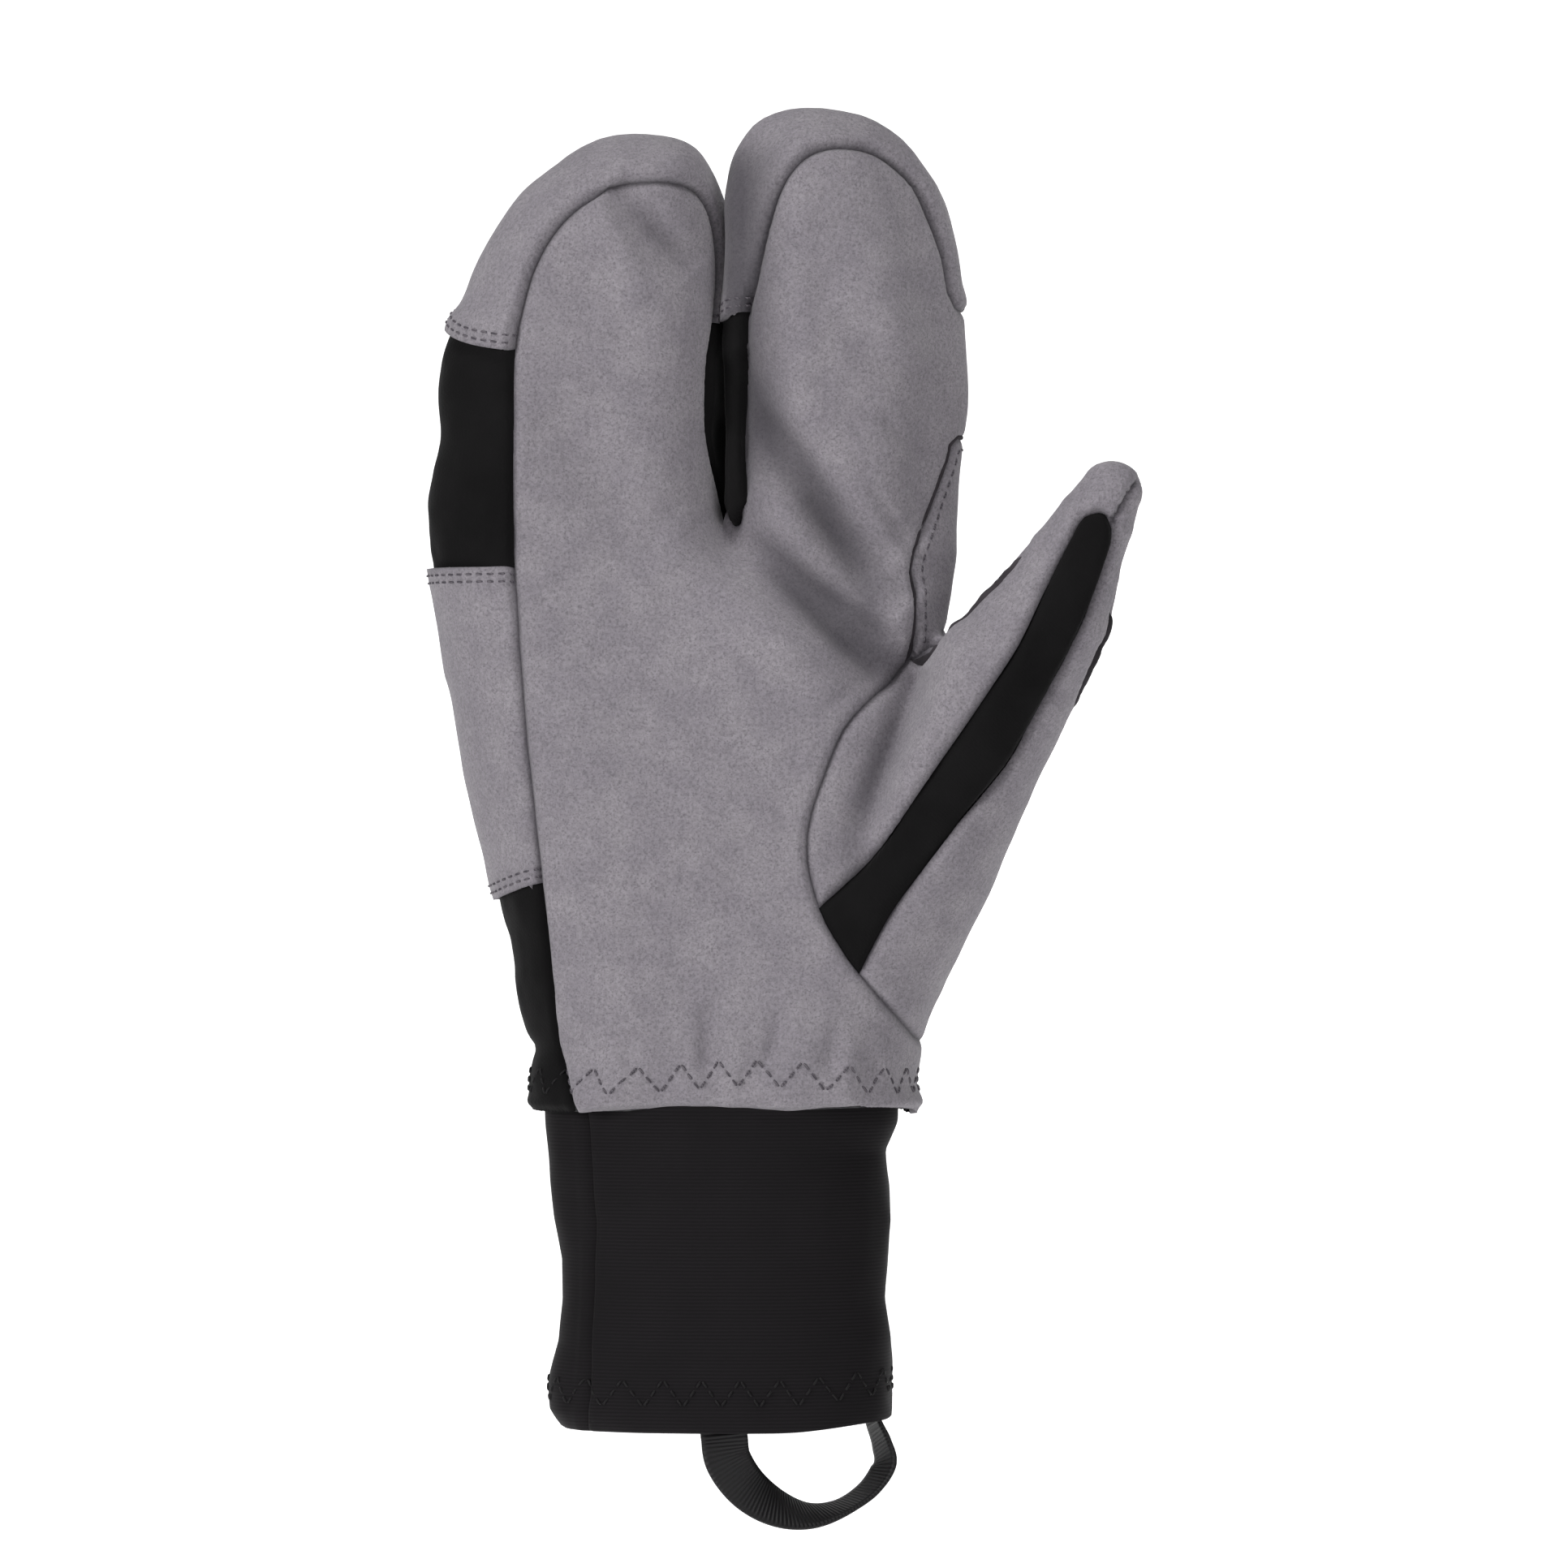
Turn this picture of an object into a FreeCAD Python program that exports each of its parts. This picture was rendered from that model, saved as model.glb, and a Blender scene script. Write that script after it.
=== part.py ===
"""Right-hand three-finger ski glove, filled as if worn, in millimetres.

The palm faces -Y, the fingers point to +Z and the thumb to +X. The origin is the middle of the
wrist, at the lower edge of the glove's body, where the cuff joins it. The glove has three
compartments: one for the ring and little fingers, one for the index and middle fingers, and the
thumb. Each compartment is a tube of three layers: a skin of suede and stretch softshell panels,
a layer of wadding, and a fleece lining. The tubes are lofted through elliptical stations, and
the layers are the same lofts taken in by their depth below the outer face.
"""

import FreeCAD
import Part
import math
import os

Vector = FreeCAD.Vector
doc = FreeCAD.newDocument("ski_glove")
dims = doc.addObject("Spreadsheet::Sheet", "dims")
FAR = 400.0  # half the size of a cutting block that has to pass right through the glove

# ---------------------------------------------------------------- driving dimensions

FABRICS = {
    "skin": 1.2,  # suede and softshell
    "layer_gap": 0.2,  # air between two layers
    "wadding": 2.8,
    "fleece": 1.0,
    "joint_gap": 0.4,  # room between two bodies across a hinge
    "thread_radius": 0.35,
}

HAND = {
    "palm_seam_y": -15.0,  # the seam between the palm and the back, on the little finger's side
    "side_seam_y": -4.0,  # the same seam on the index finger's side
    "wrist_panel_top": 47.0,
    "hand_band_top": 123.0,
    "crotch_height": 132.0,
    "index_patch_foot": 96.0,
    "index_patch_x": 42.0,
    "index_patch_back": 12.0,
    "lining_foot": 14.0,  # the wadding and the lining stop above the elastic
    "elastic_foot": 3.0,
    "elastic_top": 11.0,
    "web_foot": 130.2,
    "web_top": 131.8,
    "web_reach": 15.0,
    "thumb_seam_x": 66.0,  # the thumb is set in along an arc of this centre and radius
    "thumb_seam_z": 58.0,
    "thumb_seam_radius": 46.5,
    "thumb_seam_turn": 20.0,  # how far that arc's axis turns outwards behind the palm
}

FINGERS = {
    "cap_foot": 178.0,  # the suede fingertip caps start here
    "inner_side_share": 0.55,  # the softshell between the fingers starts this far out, of a half width
}

THUMB = {
    "thumb_root_x": 36.0,
    "thumb_root_y": -7.0,
    "thumb_root_z": 50.0,
    "thumb_splay": 30.0,  # degrees from the fingers' direction
    "thumb_lean": 9.0,  # degrees forward of the palm
    "thumb_hinge": 56.0,  # distance of the bend from the root, along the thumb
    "thumb_cap_foot": 98.0,
    "strip_left": -1.0,
    "strip_right": 12.0,
    "thumb_seam_depth": 2.0,
}

CUFF = {
    "cuff_wall": 1.6,
    "cuff_seam_x": -30.0,
    "cuff_seam_y": 5.0,
    "cuff_hem_top": -60.0,
    "cuff_hem_foot": -72.2,
    "hem_layer": 1.2,
}

LOOP = {
    "ribbon": 1.2,
    "ribbon_width": 9.0,
    "loop_left_x": -0.5,
    "loop_left_y": -20.5,
    "loop_turn": 25.0,  # degrees, so that both ends lie against the cuff's inner face
    "loop_span": 32.5,  # between the middles of its two legs
    "loop_drop": 20.0,
    "loop_pivot_z": -73.2,
    "tab_length": 9.0,
}

ZIGZAG = {
    "wrist_zigzag_low": 3.0,
    "wrist_zigzag_high": 10.0,
    "cuff_zigzag_low": -67.5,
    "cuff_zigzag_high": -60.5,
    "zigzag_stand_off": 0.75,
    "zigzag_end_gap": 0.8,
}

# Stations of each tube: name, x, y, distance along the tube, half width, half depth.
HAND_STATIONS = (
    ("hem", 0.0, 0.0, 0.0, 43.5, 30.0),
    ("gather", 1.0, 0.0, 13.0, 42.8, 27.5),
    ("heel", -0.7, 0.0, 35.0, 46.7, 26.0),
    ("palm", -4.0, 0.0, 70.0, 53.0, 25.0),
    ("knuckle", -5.7, 0.0, 105.0, 56.7, 23.5),
    ("crotch", -6.6, 0.0, 132.0, 58.4, 21.0),
)
RING_STATIONS = (
    ("root", -32.7, -1.0, 132.4, 32.4, 20.0),
    ("middle", -32.5, -1.5, 155.0, 30.5, 19.6),
    ("cap", -30.0, -4.0, 178.0, 29.6, 19.0),
    ("shoulder", -27.6, -5.0, 190.0, 26.6, 18.3),
)
RING_TIP = {"tip_x": -17.5, "tip_y": -8.0, "tip_z": 221.4}
INDEX_STATIONS = (
    ("root", 28.6, -1.0, 132.4, 24.0, 20.0),
    ("middle", 29.6, -1.5, 155.0, 24.6, 19.6),
    ("cap", 28.8, -4.0, 178.0, 25.4, 19.0),
    ("shoulder", 27.2, -5.5, 197.0, 24.6, 18.3),
)
INDEX_TIP = {"tip_x": 21.0, "tip_y": -9.0, "tip_z": 227.0}
THUMB_STATIONS = (
    ("base", -2.0, 0.0, -16.0, 12.0, 12.0),
    ("heel", 0.5, 0.0, 12.0, 20.0, 18.0),
    ("web", 1.6, 0.0, 56.0, 17.4, 16.6),
    ("joint", 1.8, 0.0, 76.0, 14.6, 14.4),
    ("shoulder", 1.2, 0.0, 92.0, 11.8, 11.6),
)
THUMB_TIP = {"tip_x": 0.4, "tip_y": 0.0, "tip_z": 115.5}
CUFF_STATIONS = (
    ("top", 0.0, 0.0, 8.0, 38.5, 22.6),
    ("neck", 0.0, 0.0, -3.0, 40.0, 23.2),
    ("upper", -0.4, 0.0, -20.0, 38.4, 24.6),
    ("waist", 0.0, 0.0, -38.0, 37.0, 25.5),
    ("lower", 0.0, 0.0, -52.0, 37.8, 26.0),
    ("flare", -0.6, 0.0, -66.0, 39.6, 26.8),
    ("edge", 0.0, 0.0, -72.4, 38.6, 26.2),
)

# A rounded fingertip: how far up the tip each ring lies, as a share of the tip's length.
TIP_SHARES = (0.4, 0.68, 0.87, 0.97, 1.0)
TIP_POINT = 0.14  # the last ring's size, as a share of the shoulder's

_rows = iter(range(1, 1000))


def set_dimension(alias, number):
    """Puts a number in the next cell of the sheet and names the cell."""
    row = next(_rows)
    dims.set(f"A{row}", alias)
    dims.set(f"B{row}", str(number))
    dims.setAlias(f"B{row}", alias)


def fill_sheet():
    """Fills the sheet with the driving dimensions and the stations of every tube."""
    for group in (FABRICS, HAND, FINGERS, THUMB, CUFF, LOOP, ZIGZAG):
        for alias, number in group.items():
            set_dimension(alias, number)
    tubes = {
        "hand": (HAND_STATIONS, {}),
        "ring": (RING_STATIONS, RING_TIP),
        "index": (INDEX_STATIONS, INDEX_TIP),
        "thumb": (THUMB_STATIONS, THUMB_TIP),
        "cuff": (CUFF_STATIONS, {}),
    }
    for tube_name, (stations, tip) in tubes.items():
        for station, *numbers in stations:
            for what, number in zip(("x", "y", "z", "width", "depth"), numbers):
                set_dimension(f"{tube_name}_{station}_{what}", number)
        for what, number in tip.items():
            set_dimension(f"{tube_name}_{what}", number)
    doc.recompute()


def value(alias):
    """The number that a cell of the sheet holds."""
    return float(dims.get(alias))


fill_sheet()

SKIN = ("0", "dims.skin")
WADDING = (
    "(dims.skin + dims.layer_gap)",
    "(dims.skin + dims.layer_gap + dims.wadding)",
)
FLEECE = (
    "(dims.skin + 2 * dims.layer_gap + dims.wadding)",
    "(dims.skin + 2 * dims.layer_gap + dims.wadding + dims.fleece)",
)
INSIDE = "(dims.skin + 3 * dims.layer_gap + dims.wadding + dims.fleece)"

# ---------------------------------------------------------------- frames and shapes

UPRIGHT = (("0", "0", "0"), ("1", "0", "0"), ("0", "1", "0"), ("0", "0", "1"))
_SPLAY, _LEAN = "dims.thumb_splay", "dims.thumb_lean"
ALONG_THUMB = (
    ("dims.thumb_root_x", "dims.thumb_root_y", "dims.thumb_root_z"),
    (f"cos({_SPLAY})", "0", f"-sin({_SPLAY})"),
    (f"sin({_SPLAY}) * sin({_LEAN})", f"cos({_LEAN})", f"cos({_SPLAY}) * sin({_LEAN})"),
    (f"sin({_SPLAY}) * cos({_LEAN})", f"-sin({_LEAN})", f"cos({_SPLAY}) * cos({_LEAN})"),
)


def thumb_axes():
    """The thumb's own x, y and z directions in the glove's frame."""
    splay = math.radians(value("thumb_splay"))
    lean = math.radians(value("thumb_lean"))
    across = Vector(math.cos(splay), 0, -math.sin(splay))
    along = Vector(
        math.sin(splay) * math.cos(lean), -math.sin(lean), math.cos(splay) * math.cos(lean)
    )
    return across, along.cross(across), along


def thumb_rotation():
    """The rotation that carries the glove's frame to the thumb's."""
    return FreeCAD.Rotation(*thumb_axes(), "ZXY")


def place(item, frame, x, y, z):
    """Binds an object's position to x, y and z, expressions in the given frame."""
    origin, ex, ey, ez = frame
    for k, axis in enumerate("xyz"):
        terms = f"{origin[k]} + ({x}) * ({ex[k]}) + ({y}) * ({ey[k]}) + ({z}) * ({ez[k]})"
        item.setExpression(f"Placement.Base.{axis}", terms)
    if frame is ALONG_THUMB:
        item.Placement.Rotation = thumb_rotation()


def ellipse(name, frame, x, y, z, half_width, half_depth):
    """One station of a tube."""
    ring = doc.addObject("Part::Ellipse", name)
    ring.setExpression("MinorRadius", half_depth)
    ring.setExpression("MajorRadius", half_width)
    place(ring, frame, x, y, z)
    return ring


def tube(tube_name, stations, inset, label, tip=False, frame=UPRIGHT, end_shift="0"):
    """A solid loft through the stations, taken in by inset all round and at its tip."""
    rings = []
    for station, *_ in stations:
        cell = f"dims.{tube_name}_{station}_"
        rings.append(
            ellipse(
                f"{label}_{station}", frame, cell + "x", cell + "y", cell + "z",
                f"{cell}width - {inset}", f"{cell}depth - {inset}",
            )
        )
    if tip:
        last, end = f"dims.{tube_name}_{stations[-1][0]}_", f"dims.{tube_name}_tip_"
        for number, share in enumerate(TIP_SHARES):
            size = max(math.sqrt(1 - share**2), TIP_POINT)
            middle = [f"{last}{a} + {share} * ({end}{a} - {last}{a})" for a in "xy"]
            height = f"{last}z + {share} * ({end}z - {inset} - {last}z)"
            rings.append(
                ellipse(
                    f"{label}_tip_{number}", frame, *middle, height,
                    f"{size} * ({last}width - {inset})", f"{size} * ({last}depth - {inset})",
                )
            )
    loft = doc.addObject("Part::Loft", label)
    loft.Sections = rings
    loft.Solid = True
    loft.Ruled = True
    return loft


def block(name, x, y, z, frame=UPRIGHT):
    """A box given by the low and high expression of each side."""
    item = doc.addObject("Part::Box", name)
    for side, (low, high) in zip(("Length", "Width", "Height"), (x, y, z)):
        item.setExpression(side, f"({high}) - ({low})")
    place(item, frame, x[0], y[0], z[0])
    return item


def join(kind, name, base, tool):
    """A boolean of two objects: Cut, Common or Fuse."""
    item = doc.addObject(f"Part::{kind}", name)
    item.Base = base
    item.Tool = tool
    item.Refine = False  # the seams between a tube's faces stay as they are
    return item


def layer(name, tube_name, stations, depths, **options):
    """The solid between two insets of one tube."""
    outer = tube(tube_name, stations, depths[0], f"{name}_outer", **options)
    inner = tube(tube_name, stations, depths[1], f"{name}_inner", **options)
    return join("Cut", name, outer, inner)


ALL = (f"-{FAR}", f"{FAR}")


def above(z):
    return (z, f"{FAR}")


def below(z):
    return (f"-{FAR}", z)


SUB_PARTS = {}


def sub_part(name, item):
    """Names the object that is written as one sub-part."""
    item.Label = name
    SUB_PARTS[name] = item
    return item


# ---------------------------------------------------------------- the glove's body


def hand_layer(name, depths, foot):
    """One layer of the hand and the thumb's base, which open into each other."""
    solids = []
    for side, inset in zip(("out", "in"), depths):
        hand = tube("hand", HAND_STATIONS, inset, f"{name}_{side}_hand")
        base = tube(
            "thumb", THUMB_STATIONS[:3], inset, f"{name}_{side}_thumb", frame=ALONG_THUMB
        )
        solids.append(join("Fuse", f"{name}_{side}", hand, base))
    whole = join("Cut", name + "_whole", *solids)
    room = block(name + "_room", ALL, ALL, (foot, "dims.crotch_height"))
    return join("Common", name, whole, room)


def thumb_seam_drum():
    """The drum whose edge is the seam where the thumb is set into the palm."""
    drum = doc.addObject("Part::Cylinder", "thumb_seam_drum")
    drum.setExpression("Radius", "dims.thumb_seam_radius")
    drum.Height = 2 * FAR
    turn = math.radians(value("thumb_seam_turn"))
    axis = Vector(math.sin(turn), math.cos(turn), 0)
    middle = Vector(value("thumb_seam_x"), value("palm_seam_y"), value("thumb_seam_z"))
    drum.Placement = FreeCAD.Placement(
        middle - axis * FAR, FreeCAD.Rotation(Vector(0, 0, 1), axis)
    )
    return drum


def front_of_hand():
    """The room in front of the seam between the palm and the back."""
    little_side = block("front_little", ALL, below("dims.palm_seam_y"), ALL)
    index_side = block("front_index", above("0"), below("dims.side_seam_y"), ALL)
    return join("Fuse", "front_of_hand", little_side, index_side)


def hand_body():
    """The palm, the panels of the back, the thumb's base and what they hold."""
    skin = hand_layer("hand_skin", SKIN, "0")
    past_thumb = tube("thumb", THUMB_STATIONS[:4], "-0.5", "past_thumb", frame=ALONG_THUMB)
    thumb_side = join("Fuse", "thumb_side", thumb_seam_drum(), past_thumb)
    hand_skin = join("Cut", "hand_skin_only", skin, thumb_side)
    sub_part("palm_panel", join("Common", "palm_cut", hand_skin, front_of_hand()))
    back = join("Cut", "hand_back", hand_skin, front_of_hand_copy())
    patch = block(
        "index_patch_room", above("dims.index_patch_x"), below("dims.index_patch_back"),
        above("dims.index_patch_foot"),
    )
    sub_part("index_side_panel", join("Common", "index_patch", back, patch))
    plain_back = join("Cut", "hand_back_plain", back, patch)
    bands = {
        "wrist_back_panel": ("0", "dims.wrist_panel_top"),
        "hand_back_band": ("dims.wrist_panel_top", "dims.hand_band_top"),
        "knuckle_bridge": ("dims.hand_band_top", "dims.crotch_height"),
    }
    for name, heights in bands.items():
        room = block(name + "_room", ALL, ALL, heights)
        sub_part(name, join("Common", name + "_cut", plain_back, room))
    thumb_base(join("Common", "thumb_base_skin", skin, thumb_side))
    sub_part("hand_wadding", hand_layer("hand_wadding_layer", WADDING, "dims.lining_foot"))
    sub_part("hand_lining", hand_layer("hand_lining_layer", FLEECE, "dims.lining_foot"))
    elastic = layer(
        "elastic_tube", "hand", HAND_STATIONS, (WADDING[0], "(dims.skin + dims.layer_gap + 1)")
    )
    room = block("elastic_room", ALL, ALL, ("dims.elastic_foot", "dims.elastic_top"))
    sub_part("wrist_elastic", join("Common", "elastic_ring", elastic, room))


def front_of_hand_copy():
    """The same room again, because a boolean hides the tool that it used."""
    return doc.getObject("front_of_hand")


def thumb_base(base_skin):
    """The two suede panels and the stretch strip at the thumb's base."""
    strip_room = block(
        "base_strip_room", ("dims.strip_left", "dims.strip_right"),
        below("dims.thumb_seam_depth"), ALL, ALONG_THUMB,
    )
    sub_part("thumb_base_strip", join("Common", "base_strip", base_skin, strip_room))
    rest = join("Cut", "base_suede", base_skin, strip_room)
    inner_room = block(
        "base_inner_room", below("dims.strip_left"), ALL, ALL, ALONG_THUMB
    )
    sub_part("thumb_base_inner_panel", join("Common", "base_inner", rest, inner_room))
    sub_part("thumb_base_outer_panel", join("Cut", "base_outer", rest, inner_room))


def crotch_web():
    """The saddle of softshell that closes the body between the two finger compartments."""
    core = tube("hand", HAND_STATIONS, INSIDE, "web_core")
    room = block(
        "web_room", ("-dims.web_reach", "dims.web_reach + 6"), ALL,
        ("dims.web_foot", "dims.web_top"),
    )
    plate = join("Common", "web_plate", core, room)
    for name in ("ring", "index"):
        post = doc.addObject("Part::Extrusion", f"web_{name}_post")
        cell = f"dims.{name}_root_"
        post.Base = ellipse(
            f"web_{name}_outline", UPRIGHT, cell + "x", cell + "y", "dims.web_foot - 5",
            cell + "width", cell + "depth",
        )
        post.Dir = Vector(0, 0, 10)
        post.Solid = True
        plate = join("Cut", f"web_without_{name}", plate, post)
    sub_part("finger_crotch_web", plate)


# ---------------------------------------------------------------- the compartments


def finger(tube_name, node, stations, inner_sign):
    """A finger compartment. inner_sign is +1 where its neighbour lies towards +X."""
    skin = layer(f"{tube_name}_skin", tube_name, stations, SKIN, tip=True)
    front_room = block(f"{tube_name}_front_room", ALL, below("dims.palm_seam_y"), ALL)
    sub_part(f"{node}_palm_panel", join("Common", f"{tube_name}_front", skin, front_room))
    rest = join("Cut", f"{tube_name}_rest", skin, front_room)
    cap_room = block(f"{tube_name}_cap_room", ALL, ALL, above("dims.cap_foot"))
    sub_part(f"{node}_tip_cap", join("Common", f"{tube_name}_cap", rest, cap_room))
    stretch = join("Cut", f"{tube_name}_stretch", rest, cap_room)
    edge = (
        f"dims.{tube_name}_root_x"
        f" + {inner_sign} * dims.inner_side_share * dims.{tube_name}_root_width"
    )
    reach = above(edge) if inner_sign > 0 else below(edge)
    side_room = block(f"{tube_name}_side_room", reach, ALL, ALL)
    sub_part(f"{node}_fourchette", join("Common", f"{tube_name}_side", stretch, side_room))
    sub_part(f"{node}_knuckle_panel", join("Cut", f"{tube_name}_back", stretch, side_room))
    for part_name, depths in (("wadding", WADDING), ("lining", FLEECE)):
        inner = layer(f"{tube_name}_{part_name}_layer", tube_name, stations, depths, tip=True)
        sub_part(f"{node}_{part_name}", inner)


def thumb():
    """The free part of the thumb, beyond its hinge."""
    stations = THUMB_STATIONS[2:]
    beyond = block(
        "thumb_room", ALL, ALL, above("dims.thumb_hinge + dims.joint_gap"), ALONG_THUMB
    )

    def thumb_layer(name, depths):
        whole = layer(f"{name}_tube", "thumb", stations, depths, tip=True, frame=ALONG_THUMB)
        return join("Common", name, whole, beyond)

    skin = thumb_layer("thumb_skin", SKIN)
    cap_room = block("thumb_cap_room", ALL, ALL, above("dims.thumb_cap_foot"), ALONG_THUMB)
    sub_part("thumb_tip_cap", join("Common", "thumb_cap", skin, cap_room))
    sleeve = join("Cut", "thumb_sleeve", skin, cap_room)
    strip_room = block(
        "thumb_strip_room", ("dims.strip_left", "dims.strip_right"), below("0"), ALL,
        ALONG_THUMB,
    )
    sub_part("thumb_strip", join("Common", "thumb_strip_cut", sleeve, strip_room))
    suede = join("Cut", "thumb_suede", sleeve, strip_room)
    inner_room = block(
        "thumb_inner_room", below("dims.strip_left"), below("dims.thumb_seam_depth"), ALL,
        ALONG_THUMB,
    )
    sub_part("thumb_inner_panel", join("Common", "thumb_inner", suede, inner_room))
    sub_part("thumb_outer_panel", join("Cut", "thumb_outer", suede, inner_room))
    sub_part("thumb_wadding", thumb_layer("thumb_wadding_layer", WADDING))
    sub_part("thumb_lining", thumb_layer("thumb_lining_layer", FLEECE))


# ---------------------------------------------------------------- the cuff and its loop


def cuff():
    """The softshell cuff, in two panels, with the folded hem inside its lower edge."""
    wall = layer("cuff_wall_tube", "cuff", CUFF_STATIONS, ("0", "dims.cuff_wall"))
    front_room = block(
        "cuff_front_room", above("dims.cuff_seam_x"), below("dims.cuff_seam_y"), ALL
    )
    sub_part("cuff_front_panel", join("Common", "cuff_front", wall, front_room))
    sub_part("cuff_back_panel", join("Cut", "cuff_back", wall, front_room))
    hem_depths = (
        "(dims.cuff_wall + dims.layer_gap)",
        "(dims.cuff_wall + dims.layer_gap + dims.hem_layer)",
    )
    hem = layer("cuff_hem_tube", "cuff", CUFF_STATIONS, hem_depths)
    room = block("cuff_hem_room", ALL, ALL, ("dims.cuff_hem_foot", "dims.cuff_hem_top"))
    sub_part("cuff_hem_facing", join("Common", "cuff_hem_ring", hem, room))


def loop():
    """The flat ribbon loop below the cuff and the two ends of it that are sewn inside."""
    turn = FreeCAD.Rotation(Vector(0, 0, 1), value("loop_turn"))
    left = Vector(value("loop_left_x"), value("loop_left_y"), 0)
    width, span = value("ribbon_width"), value("loop_span")
    middle = left + turn.multVec(Vector(span / 2, 0, 0))
    rings = []
    for name, grow in (("outer", 0.5), ("inner", -0.5)):
        ring = doc.addObject("Part::Ellipse", f"loop_{name}_outline")
        ring.setExpression("MinorRadius", "1")
        ring.setExpression("MajorRadius", "2")
        across = f"dims.loop_span / 2 + {grow} * dims.ribbon_width"
        down = f"dims.loop_drop - dims.ribbon_width / 2 + {grow} * dims.ribbon_width"
        ring.setExpression("MajorRadius", across)
        ring.setExpression("MinorRadius", down)
        ring.Placement = FreeCAD.Placement(
            middle + Vector(0, 0, value("loop_pivot_z")),
            turn * FreeCAD.Rotation(Vector(1, 0, 0), 90),
        )
        disc = doc.addObject("Part::Extrusion", f"loop_{name}_disc")
        disc.Base = ring
        disc.Dir = turn.multVec(Vector(0, value("ribbon"), 0))
        disc.Solid = True
        rings.append(disc)
    hoop = join("Cut", "loop_hoop", *rings)
    half = block("loop_half_room", ALL, ALL, below("dims.loop_pivot_z"))
    sub_part("loop_ribbon", join("Common", "loop_half", hoop, half))
    tabs = []
    for number, share in enumerate((0.0, 1.0)):
        tab = doc.addObject("Part::Box", f"loop_tab_{number}")
        tab.setExpression("Length", "dims.ribbon_width")
        tab.setExpression("Width", "dims.ribbon")
        tab.setExpression("Height", "dims.tab_length")
        corner = left + turn.multVec(Vector(share * span - width / 2, 0, 0))
        tab.Placement = FreeCAD.Placement(
            corner + Vector(0, 0, value("cuff_hem_foot")), turn
        )
        tabs.append(tab)
    pair = doc.addObject("Part::Compound", "loop_tab_pair")
    pair.Links = tabs
    sub_part("loop_sewn_ends", pair)


# ---------------------------------------------------------------- threads


def ring_point(stations, height, angle, stand_off):
    """A point of a tube's outer face at a height and an angle, moved out by stand_off."""
    for lower, upper in zip(stations, stations[1:]):
        low, high = sorted((lower[3], upper[3]))
        if low <= height <= high:
            break
    share = (height - lower[3]) / (upper[3] - lower[3])
    x, y, _, width, depth = (a + share * (b - a) for a, b in zip(lower[1:], upper[1:]))
    outward = Vector(math.cos(angle) / width, math.sin(angle) / depth, 0)
    on_face = Vector(x + width * math.cos(angle), y + depth * math.sin(angle), height)
    return on_face + outward.normalize() * stand_off


def zigzag(name, stations, low, high, count, from_angle, to_angle):
    """A row of zigzag stitches on the front of a tube, each stitch a short rod."""
    corners = []
    for number in range(count + 1):
        angle = math.radians(from_angle + (to_angle - from_angle) * number / count)
        height = value(high) if number % 2 else value(low)
        corners.append(ring_point(stations, height, angle, value("zigzag_stand_off")))
    rods = []
    for number, (start, end) in enumerate(zip(corners, corners[1:])):
        along = end - start
        gap = value("zigzag_end_gap")
        rod = doc.addObject("Part::Cylinder", f"{name}_{number}")
        rod.setExpression("Radius", "dims.thread_radius")
        rod.Height = along.Length - 2 * gap
        along.normalize()
        rod.Placement = FreeCAD.Placement(
            start + along * gap, FreeCAD.Rotation(Vector(0, 0, 1), along)
        )
        rods.append(rod)
    row = doc.addObject("Part::Compound", f"{name}_row")
    row.Links = rods
    sub_part(name, row)


def threads():
    """The zigzag rows that hold the wrist elastic and the cuff's hem."""
    zigzag(
        "wrist_zigzag_thread", HAND_STATIONS, "wrist_zigzag_low", "wrist_zigzag_high",
        18, 222, 342,
    )
    zigzag(
        "cuff_zigzag_thread", CUFF_STATIONS, "cuff_zigzag_low", "cuff_zigzag_high",
        18, 225, 350,
    )


# ---------------------------------------------------------------- build and write


def check_and_write():
    """Stops on any failed object, then writes each sub-part's solids."""
    doc.recompute()
    failed = [o.Name for o in doc.Objects if {"Invalid", "Error"} & set(o.State)]
    if failed:
        raise RuntimeError(f"failed objects: {failed}")
    os.makedirs("parts", exist_ok=True)
    for name, item in SUB_PARTS.items():
        shape = item.Shape
        if shape.isNull() or not shape.isValid() or not shape.Solids:
            raise RuntimeError(f"{name} has no valid solid")
        print(f"{name:28s} {len(shape.Solids):3d} solids {shape.Volume / 1000:8.2f} cm3")
        shape.exportStep(f"parts/{name}.step")


hand_body()
crotch_web()
finger("ring", "ring_little", RING_STATIONS, 1)
finger("index", "index_middle", INDEX_STATIONS, -1)
thumb()
cuff()
loop()
threads()
check_and_write()
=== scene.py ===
"""A right-hand ski glove with three compartments, filled as if worn, palm towards -Y.

The skin is one smooth form, cut along its real seams into suede and softshell panels. Each panel
is then raised, rolled or drawn in along its edges, creased by the hand's folds, and stitched.
Sizes are in millimetres until a mesh is made, and the meshes are in metres.
"""

import logging
import math
from dataclasses import dataclass, field
from enum import Enum

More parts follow.
